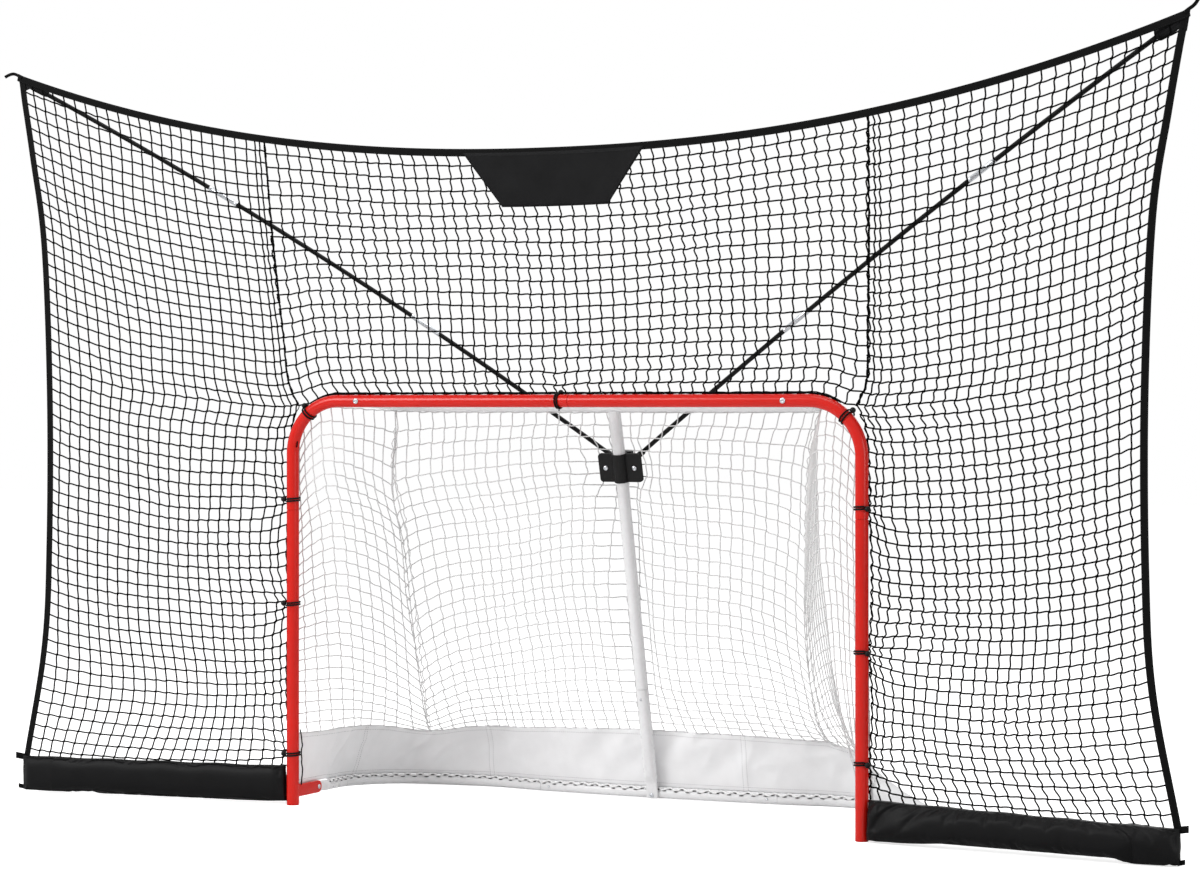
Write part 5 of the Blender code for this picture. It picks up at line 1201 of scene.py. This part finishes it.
def net_piece(name, grid, twine, finish, slot, replaces, seed, swing, wave, zigzag, loose):
    """A knotted net through a grid of knots, its strands sagging between them."""
    rows, columns = grid.shape[:2]
    random = np.random.default_rng(seed)
    sideways = np.gradient(grid, axis=1)
    downwards = np.gradient(grid, axis=0)
    sideways /= np.linalg.norm(sideways, axis=-1, keepdims=True)
    downwards /= np.linalg.norm(downwards, axis=-1, keepdims=True)
    free = np.ones((rows, columns))
    free[[0, -1]] = 0
    free[:, [0, -1]] = 0
    parity = np.where(np.arange(rows) % 2, 1.0, -1.0)[:, None]
    amount = parity * zigzag * (0.75 + 0.35 * slow_noise((rows, columns), 9, seed + 1))
    shift = (amount + random.normal(0, loose, (rows, columns))) * free
    drop = random.normal(0, loose, (rows, columns)) * free
    knots = grid + sideways * shift[..., None] + downwards * drop[..., None]
    shares = np.array((0.0, 0.2, 0.4, 0.6, 0.8))
    # Each leg slants between its knots, and the knots turn it back.
    bow, sag = np.array((0.0, -1.0, -0.4, 0.4, 1.0))[:, None], np.sin(math.pi * shares)[:, None]
    sway = swing * (1 + 0.35 * slow_noise((rows, columns), 9, seed + 2))
    lift = wave * (1 + 0.5 * slow_noise((rows, columns), 8, seed + 3))
    strands, marks = [], []
    for column in range(columns):
        path = []
        for row in range(rows - 1):
            a, b, way = knots[row, column], knots[row + 1, column], sideways[row, column]
            bent = way * sway[row, column] * random.uniform(0.8, 1.2) * bow
            path.append(a + (b - a) * shares[:, None] + bent + way * random.normal(0, loose) * sag)
        strands.append(np.concatenate([*path, knots[-1:, column]]))
        marks.append(np.arange(len(strands[-1])) % len(shares) == 0)
    for row in range(rows):
        path = []
        for column in range(columns - 1):
            a, b, way = knots[row, column], knots[row, column + 1], downwards[row, column]
            bent = way * lift[row, column] * random.uniform(0.7, 1.3) * bow
            path.append(a + (b - a) * shares[:, None] - bent + way * random.normal(0, loose) * sag)
        strands.append(np.concatenate([*path, knots[row, -1:]]))
        marks.append(np.zeros(len(strands[-1]), bool))
    lines, edges = joined_lines(strands)
    mesh = grow(lines, edges, net_tree, marks=np.concatenate(marks), Twine=twine / 2, Knot=twine * 0.86,
                Finish=finish)
    return finish_piece(name, mesh, finish, slot, replaces, sharp=0)


def wandering_cord(name, path, cord, finish, slot, seed, wander, replaces=(), step=0.010, sides=8):
    """A cord along a path that strays from it a little, as a hand lays it."""
    random = np.random.default_rng(seed)
    count = max(int(path_lengths(np.asarray(path))[-1] / step), 3)
    points = along(path, np.linspace(0, 1, count + 1))
    points[1:-1] += random.normal(0, wander / 2, (count - 1, 3)) * (1, 0.4, 0.7)
    points[1:-1, 0] += wander * 0.7 * np.sin(np.arange(1, count) * 1.6)
    fine = smooth_path(points, 3)
    grid = ring_grid(fine, headings(fine), cord / 2, (0.12, 0.98, 0.15), sides=sides)
    return grid_piece(name, grid, finish, slot, wrap=True, caps=True, sharp=0, replaces=replaces)


# The second colour is painted shade in the grooves between the plies.
black_twine = twine_finish("black_knotted_polyester_twine", "060606", "020202", 0.004, 0.04)
tape_middle = WEBBING / 2
seam_line = np.array([(POST_X + out, 0, height) for out, height in SEAM_LINE])
seam_line[0, 2] = top_edge(seam_line[0, 0]) - tape_middle
seam_line = smooth_path(seam_line, 12)


def post_net_edge(ties):
    """The net's edge down a post: held at each tie, and loose between them."""
    points = [(POST_X + out, 0, height) for out, height in POST_EDGE_LINE]
    held = [POST_EDGE_LINE[-1][1], *ties, SKIRT_HEIGHT]
    for high, low in zip(held, held[1:]):
        for f in (0.25, 0.5, 0.75, 1.0):
            loose = POST_EDGE_SLACK * math.sin(math.pi * f) * min((high - low) / 0.3, 1.0)
            points.append((POST_X + POST_EDGE_OUT + loose, 0, high + (low - high) * f))
    return smooth_path(points, 4)


for side, name in SIDES:
    ties = POST_TIES[name]
    outer = side_strip(side, WEBBING * 0.5)
    outer[0, 2] = top_edge(outer[0, 0]) - tape_middle
    post_edge = post_net_edge(ties)
    inner = np.concatenate([seam_line[:-1], post_edge]) * (side, 1, 1)
    top = np.concatenate([inner[:1], top_strip(inner[0, 0], outer[0, 0], tape_middle, 24)[1:-1], outer[:1]])
    bottom = np.stack([inner[-1], outer[-1]])
    columns, rows = WING_MESHES
    grid = spread_grid(top, bottom, inner, outer, columns, rows)
    u, v = shares_of(grid)
    swell = np.sin(math.pi * u) * np.sin(math.pi * v)
    shear = WING_SHEAR * np.exp(-(((grid[..., 2] - SHEAR_HEIGHT) / SHEAR_REACH) ** 2))
    shear *= np.sin(math.pi * u) ** 0.6
    grid[..., 0] -= side * shear
    grid[..., 0] += 0.006 * slow_noise(grid.shape[:2], 14, 11 + side) * np.sin(math.pi * u)
    grid[..., 2] += 0.008 * slow_noise(grid.shape[:2], 16, 21 + side) * swell
    sag = WING_SAG[0] + WING_SAG[1] * v
    grid[..., 2] -= sag * np.sin(math.pi * u) ** 0.7 * np.sin(math.pi * v) ** 0.4
    for height in ties:
        grid = drawn_in(grid, ((POST_X + POST_EDGE_OUT) * side, 0, height), TIE_REACH, TIE_PULL)
    y = backstop_y(grid[..., 0], grid[..., 2]) + BEHIND_TAPE
    near = np.clip(1 - (np.abs(grid[..., 0]) - POST_X - 0.015) / 0.04, 0, 1)
    y += near * np.clip((1.20 - grid[..., 2]) / 0.05, 0, 1) * (BEHIND_POST_FACE - BEHIND_TAPE)
    y[1:-1, 1:-1] += 0.007 * slow_noise((rows - 1, columns - 1), 18, 31 + side)
    grid[..., 1] = y
    by_post = np.exp(-(np.abs(grid[..., 0]) - POST_X) / 0.12) * (grid[..., 2] < 1.25)
    slant = side * (WING_SLANTS[name] + 0.0016 * by_post)
    net_piece(f"backstop_net_{name}", grid, BLACK_TWINE, black_twine, "black_net", [f"net_wing_{name}"],
              40 + side, swing=slant, wave=0.0010, zigzag=0.0022 * by_post, loose=0.0006)
    line = seam_line * (side, 1, 1)
    line[:, 1] = backstop_y(line[:, 0], line[:, 2]) + BEHIND_TAPE
    wandering_cord(f"backstop_seam_{name}", line, SEAM_CORD, black_twine, "black_net", 50 + side, 0.0010)
    line = post_edge * (side, 1, 1) + (0, BEHIND_POST_FACE, 0)
    wandering_cord(f"post_net_edge_{name}", line, BLACK_EDGE_CORD, black_twine, "black_net", 54 + side,
                   0.0020)

right = seam_line
left = right * (-1, 1, 1)
top = top_strip(left[0, 0], right[0, 0], tape_middle, 50)
bend_middle = (POST_X - CORNER_RADIUS, CROSSBAR_Z - CORNER_RADIUS)
over_bend = arc(bend_middle, CORNER_RADIUS + RED_TUBE / 2 + 0.001, 58, 90, 6)
half_low = [tuple(right[-1]), *[(x, 0, z) for x, z in over_bend]]
bottom = np.array([(-x, y, z) for x, y, z in half_low] + half_low[::-1])
columns, rows = CENTRE_MESHES
grid = spread_grid(top, bottom, left, right, columns, rows)
u, v = shares_of(grid)
slack = np.sin(math.pi * v)
grid[..., 0] += 0.020 * slack**0.8 * np.sin(math.pi * u) + 0.005 * slow_noise(grid.shape[:2], 12, 12) * slack
grid[..., 2] += 0.006 * slow_noise(grid.shape[:2], 14, 22) * slack
grid = drawn_in(grid, (CROSSBAR_TIE, 0, CROSSBAR_Z + 0.026), 0.10, 0.4)
grid[..., 1] = backstop_y(grid[..., 0], grid[..., 2]) + BEHIND_TAPE
behind_banner = (np.abs(grid[..., 0]) < BANNER_TOP / 2 + 0.05) & (v < 0.36)
bulge = np.where(behind_banner, 0.002, 0.006 * slow_noise(grid.shape[:2], 16, 32))
grid[1:-1, 1:-1, 1] += bulge[1:-1, 1:-1]
grid[-1, :, 2] += 0.0015 + 0.0012 * slow_noise((1, columns + 1), 5, 42)[0]
by_bar = np.exp(-(grid[..., 2] - CROSSBAR_Z - 0.02) / 0.12)
net_piece("backstop_net_centre", grid, BLACK_TWINE, black_twine, "black_net", ["net_centre"], 43,
          swing=0.0028 + 0.0010 * by_bar, wave=0.0008, zigzag=0.0022 * by_bar, loose=0.0006)
for strand, lift in enumerate((0.0014, 0.0034, 0.0052)):
    path = bottom[1:-1] + (0, 0.003 + 0.002 * strand, lift)
    wandering_cord(f"crossbar_net_edge_{strand + 1}", path, BLACK_EDGE_CORD, black_twine, "black_net",
                   60 + strand, 0.0014, step=0.013)

# Ball ties: elastic cord wound twice round the tube and the net's edge, both ends held in a black
# ball. Loose ends of the net's lacing cord hang beside them.
TIE_CORD = 0.0050
TIE_BALL = 0.017
TIE_SPACING = 0.0072
BEND_TIE_SPACING = 0.0095
TIE_OUTWARD = (0.82, -0.57, 0)
CROSSBAR_TIE_OUTWARD = (0, 0.5, 0.866)
LOOSE_CORD = 0.0040
# How far round the bend its tie sits, from the post to the crossbar, in degrees.
BEND_TIES = {"left": 51, "right": 45}
# Each loose end: its points as distances from the goal's middle, from the mouth and from the floor.
LOOSE_ENDS = {
    "bend": ((-0.9135, -0.006, 1.116), (-0.9110, -0.012, 1.108), (-0.9125, -0.012, 1.097)),
    "crossbar": ((-0.016, -0.012, 1.222), (-0.012, -0.014, 1.216), (-0.013, -0.013, 1.209)),
    "foot": ((-0.9100, 0.004, 0.232), (-0.9040, 0.006, 0.190), (-0.9075, 0.007, 0.150),
             (-0.9030, 0.006, 0.105), (-0.9060, 0.004, 0.062)),
}

# Rubber cord under a tight polyester braid: dull black with soft, broken highlights.
elastic, tree, shader = new_finish("black_braided_elastic", "0A0A0B", 0.55, Specular_IOR_Level=0.10)
uv = add_node(tree, "ShaderNodeTexCoord").outputs["UV"]
# The braid's strands are 0.8 mm wide. They are drawn 1.6 mm wide, so that they show.
braid = add_node(tree, "ShaderNodeMapping", {"Vector": uv, "Rotation": (0.0, 0.0, 0.8)})
braid = add_node(tree, "ShaderNodeTexWave", {"Vector": braid.outputs[0], "Scale": 190.0})
bump = add_node(tree, "ShaderNodeBump", {"Height": braid.outputs["Fac"], "Strength": 0.5, "Distance": 0.0004})
tree.links.new(bump.outputs["Normal"], shader.inputs["Normal"])
# Moulded polypropylene: smooth and black, with one soft highlight on each ball.
ball_plastic, _, _ = new_finish("black_moulded_ball", "0A0A0A", 0.34, Specular_IOR_Level=0.16)


def ball_tie(name, centre, axis, outward, spacing):
    """A tie wound round the tube at this place, its ball on the outward side."""
    centre = np.asarray(centre, float)
    axis, outward = (np.array(way) / np.linalg.norm(way) for way in (axis, outward))
    round_way = np.cross(axis, outward)
    radius = RED_TUBE / 2 + FIT + TIE_CORD / 2
    ball = centre + outward * (RED_TUBE / 2 + FIT * 2 + TIE_BALL / 2)
    turns = np.linspace(0.06, 1.94, 61)[:, None]
    angle = turns * 2 * math.pi
    around = outward * np.cos(angle) + round_way * np.sin(angle)
    loops = centre + axis * spacing * (turns - 1) + radius * around
    path = np.array([ball - axis * 0.002, *loops, ball + axis * 0.002])
    grid = ring_grid(path, headings(path), TIE_CORD / 2, axis, sides=12)
    grid_piece(f"{name}_cord", grid, elastic, "black_elastic", wrap=True, caps=True, replaces=[name], sharp=0)
    tilt = np.radians(np.linspace(4, 176, 15))
    path = ball + np.cos(tilt)[:, None] * axis * TIE_BALL / 2
    ways = np.broadcast_to(-axis, path.shape)
    grid = ring_grid(path, ways, np.sin(tilt) * TIE_BALL / 2, outward, sides=24)
    grid_piece(f"{name}_ball", grid, ball_plastic, "black_elastic", wrap=True, caps=True)


for side, name in SIDES:
    for index, height in enumerate(POST_TIES[name]):
        outward = np.array(TIE_OUTWARD) * (side, 1, 1)
        ball_tie(f"ball_tie_{name}_{index + 1}", (POST_X * side, 0, height), (0, 0, 1), outward, TIE_SPACING)
    turn = math.radians(BEND_TIES[name])
    outward = np.array((math.cos(turn) * side, 0, math.sin(turn)))
    bend = outward * CORNER_RADIUS + (bend_middle[0] * side, 0, bend_middle[1])
    ball_tie(f"ball_tie_bend_{name}", bend, (outward[2], 0, -outward[0]), outward, BEND_TIE_SPACING)
ball_tie("ball_tie_crossbar", (CROSSBAR_TIE, 0, CROSSBAR_Z), (1, 0, 0), CROSSBAR_TIE_OUTWARD, TIE_SPACING)
for name, points in LOOSE_ENDS.items():
    line = smooth_path(points, 4)
    wandering_cord(f"loose_cord_{name}", line, LOOSE_CORD, black_twine, "black_net", 75, 0.0012)

# Goal net band: a strip of pale grey coated cloth round the foot of the net, standing on the base
# tube and leaning in, with sewn joints and soft folds. It is stitched to the net along its top.
BAND_THICKNESS = 0.0016
BAND_STATIONS = 420
BAND_LEVELS = 24
BAND_SIDE_LEAN = 0.065
BAND_RIGHT_LEAN = 0.155
BAND_BACK_LEAN = 0.038
BAND_FOLDS = (0.009, 0.005)
BAND_PUCKER = 0.005
# The right side's own lean sets in beyond this distance from the goal's middle, over this run.
BAND_RIGHT_FROM = 0.66
BAND_RIGHT_RUN = 0.20
# The band stands upright behind the posts, up to here, and leans in fully after this run.
BAND_UPRIGHT_TO = 0.04
BAND_UPRIGHT_RUN = 0.24
# Places along the base, each with the height of the band's top edge.
BAND_EDGE = (
    (-0.943, 0.03, 0.217), (-0.955, 0.42, 0.210), (-0.800, 0.60, 0.178), (-0.600, 0.67, 0.197),
    (0, 0.626, 0.217), (0.520, 0.67, 0.203), (0.620, 0.68, 0.189), (0.955, 0.42, 0.105),
    (0.943, 0.03, 0.160),
)
BAND_SEAMS = ((-0.955, 0.42), (-0.60, 0.67), (0.30, 0.64), (0.70, 0.66))
BAND_SEAM_REACH = 2.2
BAND_STITCH_PITCH = 0.007
BAND_STITCH_THREAD = 0.0013
BAND_STITCH_ROWS = (2, BAND_LEVELS - 2)
NET_FRONT = RED_TUBE / 2 + 0.005 + FIT * 5
EAR_TOP = EAR_HEIGHT + WHITE_TUBE / 2 * PRESSED_SPREAD + FIT * 4


def nearest_index(line, x, y):
    """Which point of a line is nearest to a place on the floor."""
    return int(np.argmin((line[:, 0] - x) ** 2 + (line[:, 1] - y) ** 2))


def run_and_inward(path):
    """The level direction of a path round the base at each point, and the way in from it."""
    run = np.gradient(path, axis=0) * (1, 1, 0)
    run /= np.linalg.norm(run, axis=1)[:, None]
    return run, np.stack([run[:, 1], -run[:, 0], np.zeros(len(run))], axis=1)


free_left = base_side_path(-1)
free_left = free_left[free_left[:, 1] > PRESSED_END - 0.002]
base_line = np.concatenate([free_left[:-1], rear_path, free_left[:-1][::-1] * (-1, 1, 1)])
front_run = np.array([(PRESSED_X, y, EAR_TOP) for y in np.linspace(NET_FRONT, PRESSED_END - 0.006, 8)])
band_line = np.concatenate([front_run * (-1, 1, 1), base_line, front_run[::-1]])
stations = along(band_line, np.linspace(0, 1, BAND_STATIONS + 1))
run, inward = run_and_inward(stations)
foot_z = np.where(stations[:, 1] < PRESSED_END, EAR_TOP, stations[:, 2] + WHITE_TUBE / 2 + 0.0012)
places = [nearest_index(stations, x, y) for x, y, _ in BAND_EDGE]
edge_z = smooth_path([(place, 0, height) for place, (_, _, height) in zip(places, BAND_EDGE)], 8)
edge_z = np.interp(np.arange(BAND_STATIONS + 1), edge_z[:, 0], edge_z[:, 2])
edge_z += 0.0022 * slow_noise((1, BAND_STATIONS + 1), 26, 71)[0]
lean = BAND_BACK_LEAN + (BAND_SIDE_LEAN - BAND_BACK_LEAN) * np.abs(run[:, 1])
lean += (BAND_RIGHT_LEAN - lean) * np.clip((stations[:, 0] - BAND_RIGHT_FROM) / BAND_RIGHT_RUN, 0, 1)
lean *= np.clip((stations[:, 1] - BAND_UPRIGHT_TO) / BAND_UPRIGHT_RUN, 0, 1)
shape = (BAND_LEVELS + 1, BAND_STATIONS + 1)
folds = BAND_FOLDS[0] * slow_noise(shape, 40, 72) + BAND_FOLDS[1] * slow_noise(shape, 15, 73)
crease = np.zeros(BAND_STATIONS + 1)
for place in BAND_SEAMS:
    away = np.arange(BAND_STATIONS + 1) - nearest_index(stations, *place)
    crease += np.exp(-((away / BAND_SEAM_REACH) ** 2))
level = np.linspace(0, 1, BAND_LEVELS + 1)[:, None]
free = np.sin(math.pi * np.minimum(level * 1.15, 1) / 2) ** 1.2
shift = lean * level**1.1 - np.abs(folds) * free * 0.9 + BAND_PUCKER * crease * np.sin(math.pi * level)
band_grid = stations + inward * shift[..., None]
band_grid[..., 2] = foot_z + (edge_z - foot_z) * level
# Coated polyester: pale and dull, the weave faint under its coating. Its threads are drawn 1.8 mm
# apart, so that they show.
pale_cloth = woven_cloth("pale_grey_coated_cloth", "F0F0F1", "EAEAEB", 0.0018, 0.60, 0.2, 0.3)
band = grid_piece("goal_net_band", band_grid, pale_cloth, "pale_grey_cloth", replaces=["net_band"])
refine(band, "SOLIDIFY", thickness=BAND_THICKNESS, offset=0.0)
# Polyester thread, a little darker than the band.
grey_thread, _, _ = new_finish("grey_polyester_thread", "A8A8AA", 0.6)
on_face = inward * 0.0012
sewn = [band_grid[row] - on_face for row in BAND_STITCH_ROWS]
sewn += [band_grid[row] + on_face for row in BAND_STITCH_ROWS]
for place in BAND_SEAMS:
    index = nearest_index(stations, *place)
    sewn += [band_grid[:, index + offset] + on_face[index] for offset in (-1, 1)]
stitched("goal_net_band_stitches", sewn, grey_thread, "pale_grey_cloth", pitch=BAND_STITCH_PITCH,
         thread=BAND_STITCH_THREAD)

# Hem cord: a soft white cord laced in waves through the band's foot and round the base tube. Short
# black dashes just below it are painted shade, standing in for the shadows inside the cord's loops.
HEM_CORD = 0.006
HEM_PERIOD = 0.043
HEM_TILT = 38
HEM_SWAY = 14
HEM_STRAY = 5
# The painted shade dashes: how thick they are, and how many degrees below the cord round the tube.
HEM_SHADE_DASH = 0.0032
HEM_SHADE_DASH_BELOW = 13

hem_length = path_lengths(base_line)[-1]
waves = round(hem_length / HEM_PERIOD)
shares = np.linspace(0, 1, waves * 10 + 1)
middle = along(base_line, shares)
_, inward = run_and_inward(middle)


def round_tube(away, tilt):
    """A path beside the base tube, this far from its middle and this far down its inner side."""
    tilt = np.radians(tilt)[:, None]
    return middle + away * (inward * np.sin(tilt) + (0, 0, 1) * np.cos(tilt))


# The second colour is painted shade in the grooves between the plies.
white_cord = twine_finish("white_braided_cord", "FAFAFA", "E6E6E6", 0.006, 0.3)
sway = HEM_TILT + HEM_SWAY * np.sin(shares * waves * 2 * math.pi)
sway += HEM_STRAY * slow_noise((1, len(shares)), 60, 96)[0]
line = round_tube((WHITE_TUBE + HEM_CORD) / 2 + FIT * 2, sway)
grid = ring_grid(line, headings(line), HEM_CORD / 2, (0, 0, 1), sides=8)
grid_piece("hem_cord_fine", grid, white_cord, "white_net", wrap=True, caps=True, replaces=["hem_cord"],
           sharp=0)
# Painted shade: black beads below the cord, where the shadows inside its loops fall.
line = round_tube(WHITE_TUBE / 2 + 0.0026, sway + HEM_SHADE_DASH_BELOW)
stitched("hem_painted_shade_dashes", [line], black_thread, "black_net", pitch=HEM_PERIOD / 2, thread=HEM_SHADE_DASH)

# Goal net: 40 mm meshes of white knotted twine from the red frame and the top rail down to the
# band, in a back, two sides and a top, gathered where the panels meet.
WHITE_TWINE = 0.0038
# How much the white nets' rows sway, their columns zigzag and their knots stray.
WHITE_STRAYS = {"wave": 0.0012, "zigzag": 0.0008, "loose": 0.0009}
GATHER_CORD = 0.0032
NET_CORNERS = {"left": (0.715, 0.252), "right": (0.687, 0.295)}
# How a gather strays from a straight line down: inwards and forwards at most, and its shape.
GATHER_STRAYS = (0.042, 0.086)
GATHER_SHAPE = (
    (0, 0), (0.08, 0.5), (0.21, 0.74), (0.39, 0.96), (0.54, 1), (0.69, 1), (0.83, 0.86), (0.91, 0.58),
    (1, 0),
)
# The left gather also swings forwards near its top: how far, where along it and over what share.
LEFT_SWING = (0.055, 0.165, 0.09)
# The nets hang lower beside a gather: how far, and over what reach.
VALLEY = 0.125
VALLEY_REACH = 0.19
BEHIND_BACK_POST = 0.026
# The net passes further behind the post, and is spread wider, where the bracket's clamp is.
BEHIND_BRACKET = 0.012
BRACKET_REACH = 0.06
POST_REACH = 0.06
# The side nets leave the crossbar this far from the goal's middle.
SIDE_NET_HALF = 0.80
BACK_MESHES = (37, 27)
SIDE_MESHES = {"left": (11, 27), "right": (18, 27)}
TOP_MESHES = (36, 8)
TOP_SAG = 0.020
# The second colour is painted shade in the grooves between the plies.
white_twine = twine_finish("white_knotted_polyester_twine", "E6E6E6", "CECECE", 0.004, 0.3)
band_top = band_grid[-1]
under = WHITE_TUBE / 2 + 0.002


def gather_line(side, start, end):
    """A gathered seam that hangs from the rail to the band, pulled in by the net beside it."""
    f = np.linspace(0, 1, 25)
    at, shape = zip(*GATHER_SHAPE)
    stray = np.interp(f, at, shape)[:, None]
    line = start + (end - start) * f[:, None]
    line += stray * (-GATHER_STRAYS[0] * side, -GATHER_STRAYS[1], 0)
    if side < 0:
        far, middle_share, share = LEFT_SWING
        line[:, 1] -= far * np.exp(-(((f - middle_share) / share) ** 2))
    return line


feet = {"left": nearest_index(band_top, -0.78, 0.58), "right": nearest_index(band_top, 0.61, 0.64)}
corners = {}
for side, name in SIDES:
    out, back = NET_CORNERS[name]
    corners[name] = np.array((out * side, back, rail_height(back) - under))
gathers = {name: gather_line(side, corners[name], band_top[feet[name]]) for side, name in SIDES}
after_left = rail_path[:, 0] > corners["left"][0] + 0.002
before_right = rail_path[:, 0] < corners["right"][0] - 0.002
rail_arc = rail_path[after_left & before_right & (rail_path[:, 1] > 0.2)] - (0, -0.004, under)
back_top = np.concatenate([[corners["left"]], rail_arc, [corners["right"]]])
back_low = band_top[feet["left"] : feet["right"] + 1]
columns, rows = BACK_MESHES
grid = spread_grid(back_top, back_low, gathers["left"], gathers["right"], columns, rows)
u, v = shares_of(grid)
slack = np.sin(math.pi * v)
width = path_lengths(back_top)[-1]
edge = np.exp(-u * width / VALLEY_REACH) + np.exp(-(1 - u) * width / VALLEY_REACH)
grid[..., 2] -= VALLEY * edge * slack**0.7
grid[..., 2] += 0.012 * slow_noise(grid.shape[:2], 15, 81) * slack * np.sin(math.pi * u) ** 0.4
grid[..., 0] += 0.010 * slow_noise(grid.shape[:2], 15, 82) * slack
grid[..., 1] += (0.020 * np.sin(math.pi * u) + 0.008 * slow_noise(grid.shape[:2], 12, 83)) * slack
grid = drawn_in(grid, gathers["right"][0], 0.22, 0.35)
post_z = (post_foot[2], BACK_POST_KNEE[1], rail_height(RAIL_BACK))
post_y = np.interp(grid[..., 2], post_z, (post_foot[1], BACK_POST_KNEE[0], RAIL_BACK))
by_bracket = np.exp(-(((grid[..., 2] - BRACKET_HEIGHT_AT) / BRACKET_REACH) ** 4))
short = np.maximum(post_y + BEHIND_BACK_POST + BEHIND_BRACKET * by_bracket - grid[..., 1], 0)
reach = POST_REACH + BRACKET_REACH * by_bracket
grid[..., 1] += short * np.exp(-((grid[..., 0] / reach) ** 4)) * slack**0.2
net_piece("goal_net_back_fine", grid, WHITE_TWINE, white_twine, "white_net", ["goal_net_back"], 84,
          swing=0.0016, **WHITE_STRAYS)

for side, name in SIDES:
    bend = arc(bend_middle, CORNER_RADIUS, 0, 90, 8)
    top = [(x, NET_FRONT, z) for x, z in bend[:-1] if x > SIDE_NET_HALF + 0.01]
    top += [(SIDE_NET_HALF, NET_FRONT, rail_height(NET_FRONT) - under)]
    top = np.array([*np.array(top) * (side, 1, 1), gathers[name][0]])
    low = band_top[: feet[name] + 1] if side < 0 else band_top[feet[name] :][::-1]
    front = np.linspace(top[0], low[0], 8)
    columns, rows = SIDE_MESHES[name]
    grid = spread_grid(top, low, front, gathers[name], columns, rows)
    u, v = shares_of(grid)
    slack = np.sin(math.pi * v)
    # The net is pulled flat from the post to the gather, and follows the band only near its foot.
    round_band = along(low, u[0]) - low[0] * (1 - u[0][:, None]) - low[-1] * u[0][:, None]
    grid += round_band[None] * (v**4 - v)[..., None]
    grid[..., 2] -= VALLEY * np.exp(-(1 - u) * path_lengths(low)[-1] / VALLEY_REACH) * slack**0.7
    grid[..., 0] -= side * 0.020 * np.sin(math.pi * u) * slack
    grid[..., 0] += 0.006 * slow_noise(grid.shape[:2], 10, 85 + side) * slack * np.sin(math.pi * u)
    net_piece(f"goal_net_{name}_fine", grid, WHITE_TWINE, white_twine, "white_net", [f"goal_net_{name}"],
              88 + side, swing=0.0014, **WHITE_STRAYS)
    wandering_cord(f"goal_net_gather_{name}", gathers[name], GATHER_CORD, white_twine, "white_net",
                   91 + side, 0.003)

over = WHITE_TUBE / 2 + 0.0022
across = np.linspace(-RAIL_HALF, RAIL_HALF, 9)
rail_back_line = [(x, RAIL_BACK + WHITE_TUBE / 2, rail_height(RAIL_BACK) + 0.012) for x in across]
rail_front_line = [(x * SIDE_NET_HALF / RAIL_HALF, NET_FRONT, rail_height(NET_FRONT) + over) for x in across]
side_lines = []
for end in (0, -1):
    middle_point = (across[end], (RAIL_BACK + NET_FRONT) / 2, rail_height((RAIL_BACK + NET_FRONT) / 2) + over)
    side_lines.append([rail_back_line[end], middle_point, rail_front_line[end]])
grid = spread_grid(rail_back_line, rail_front_line, *side_lines, *TOP_MESHES)
u, v = shares_of(grid)
grid[..., 2] -= TOP_SAG * np.sin(math.pi * v) * np.sin(math.pi * u) ** 0.5
net_piece("goal_net_top_fine", grid, WHITE_TWINE, white_twine, "white_net", ["goal_net_top"], 95,
          swing=0.0014, **WHITE_STRAYS)
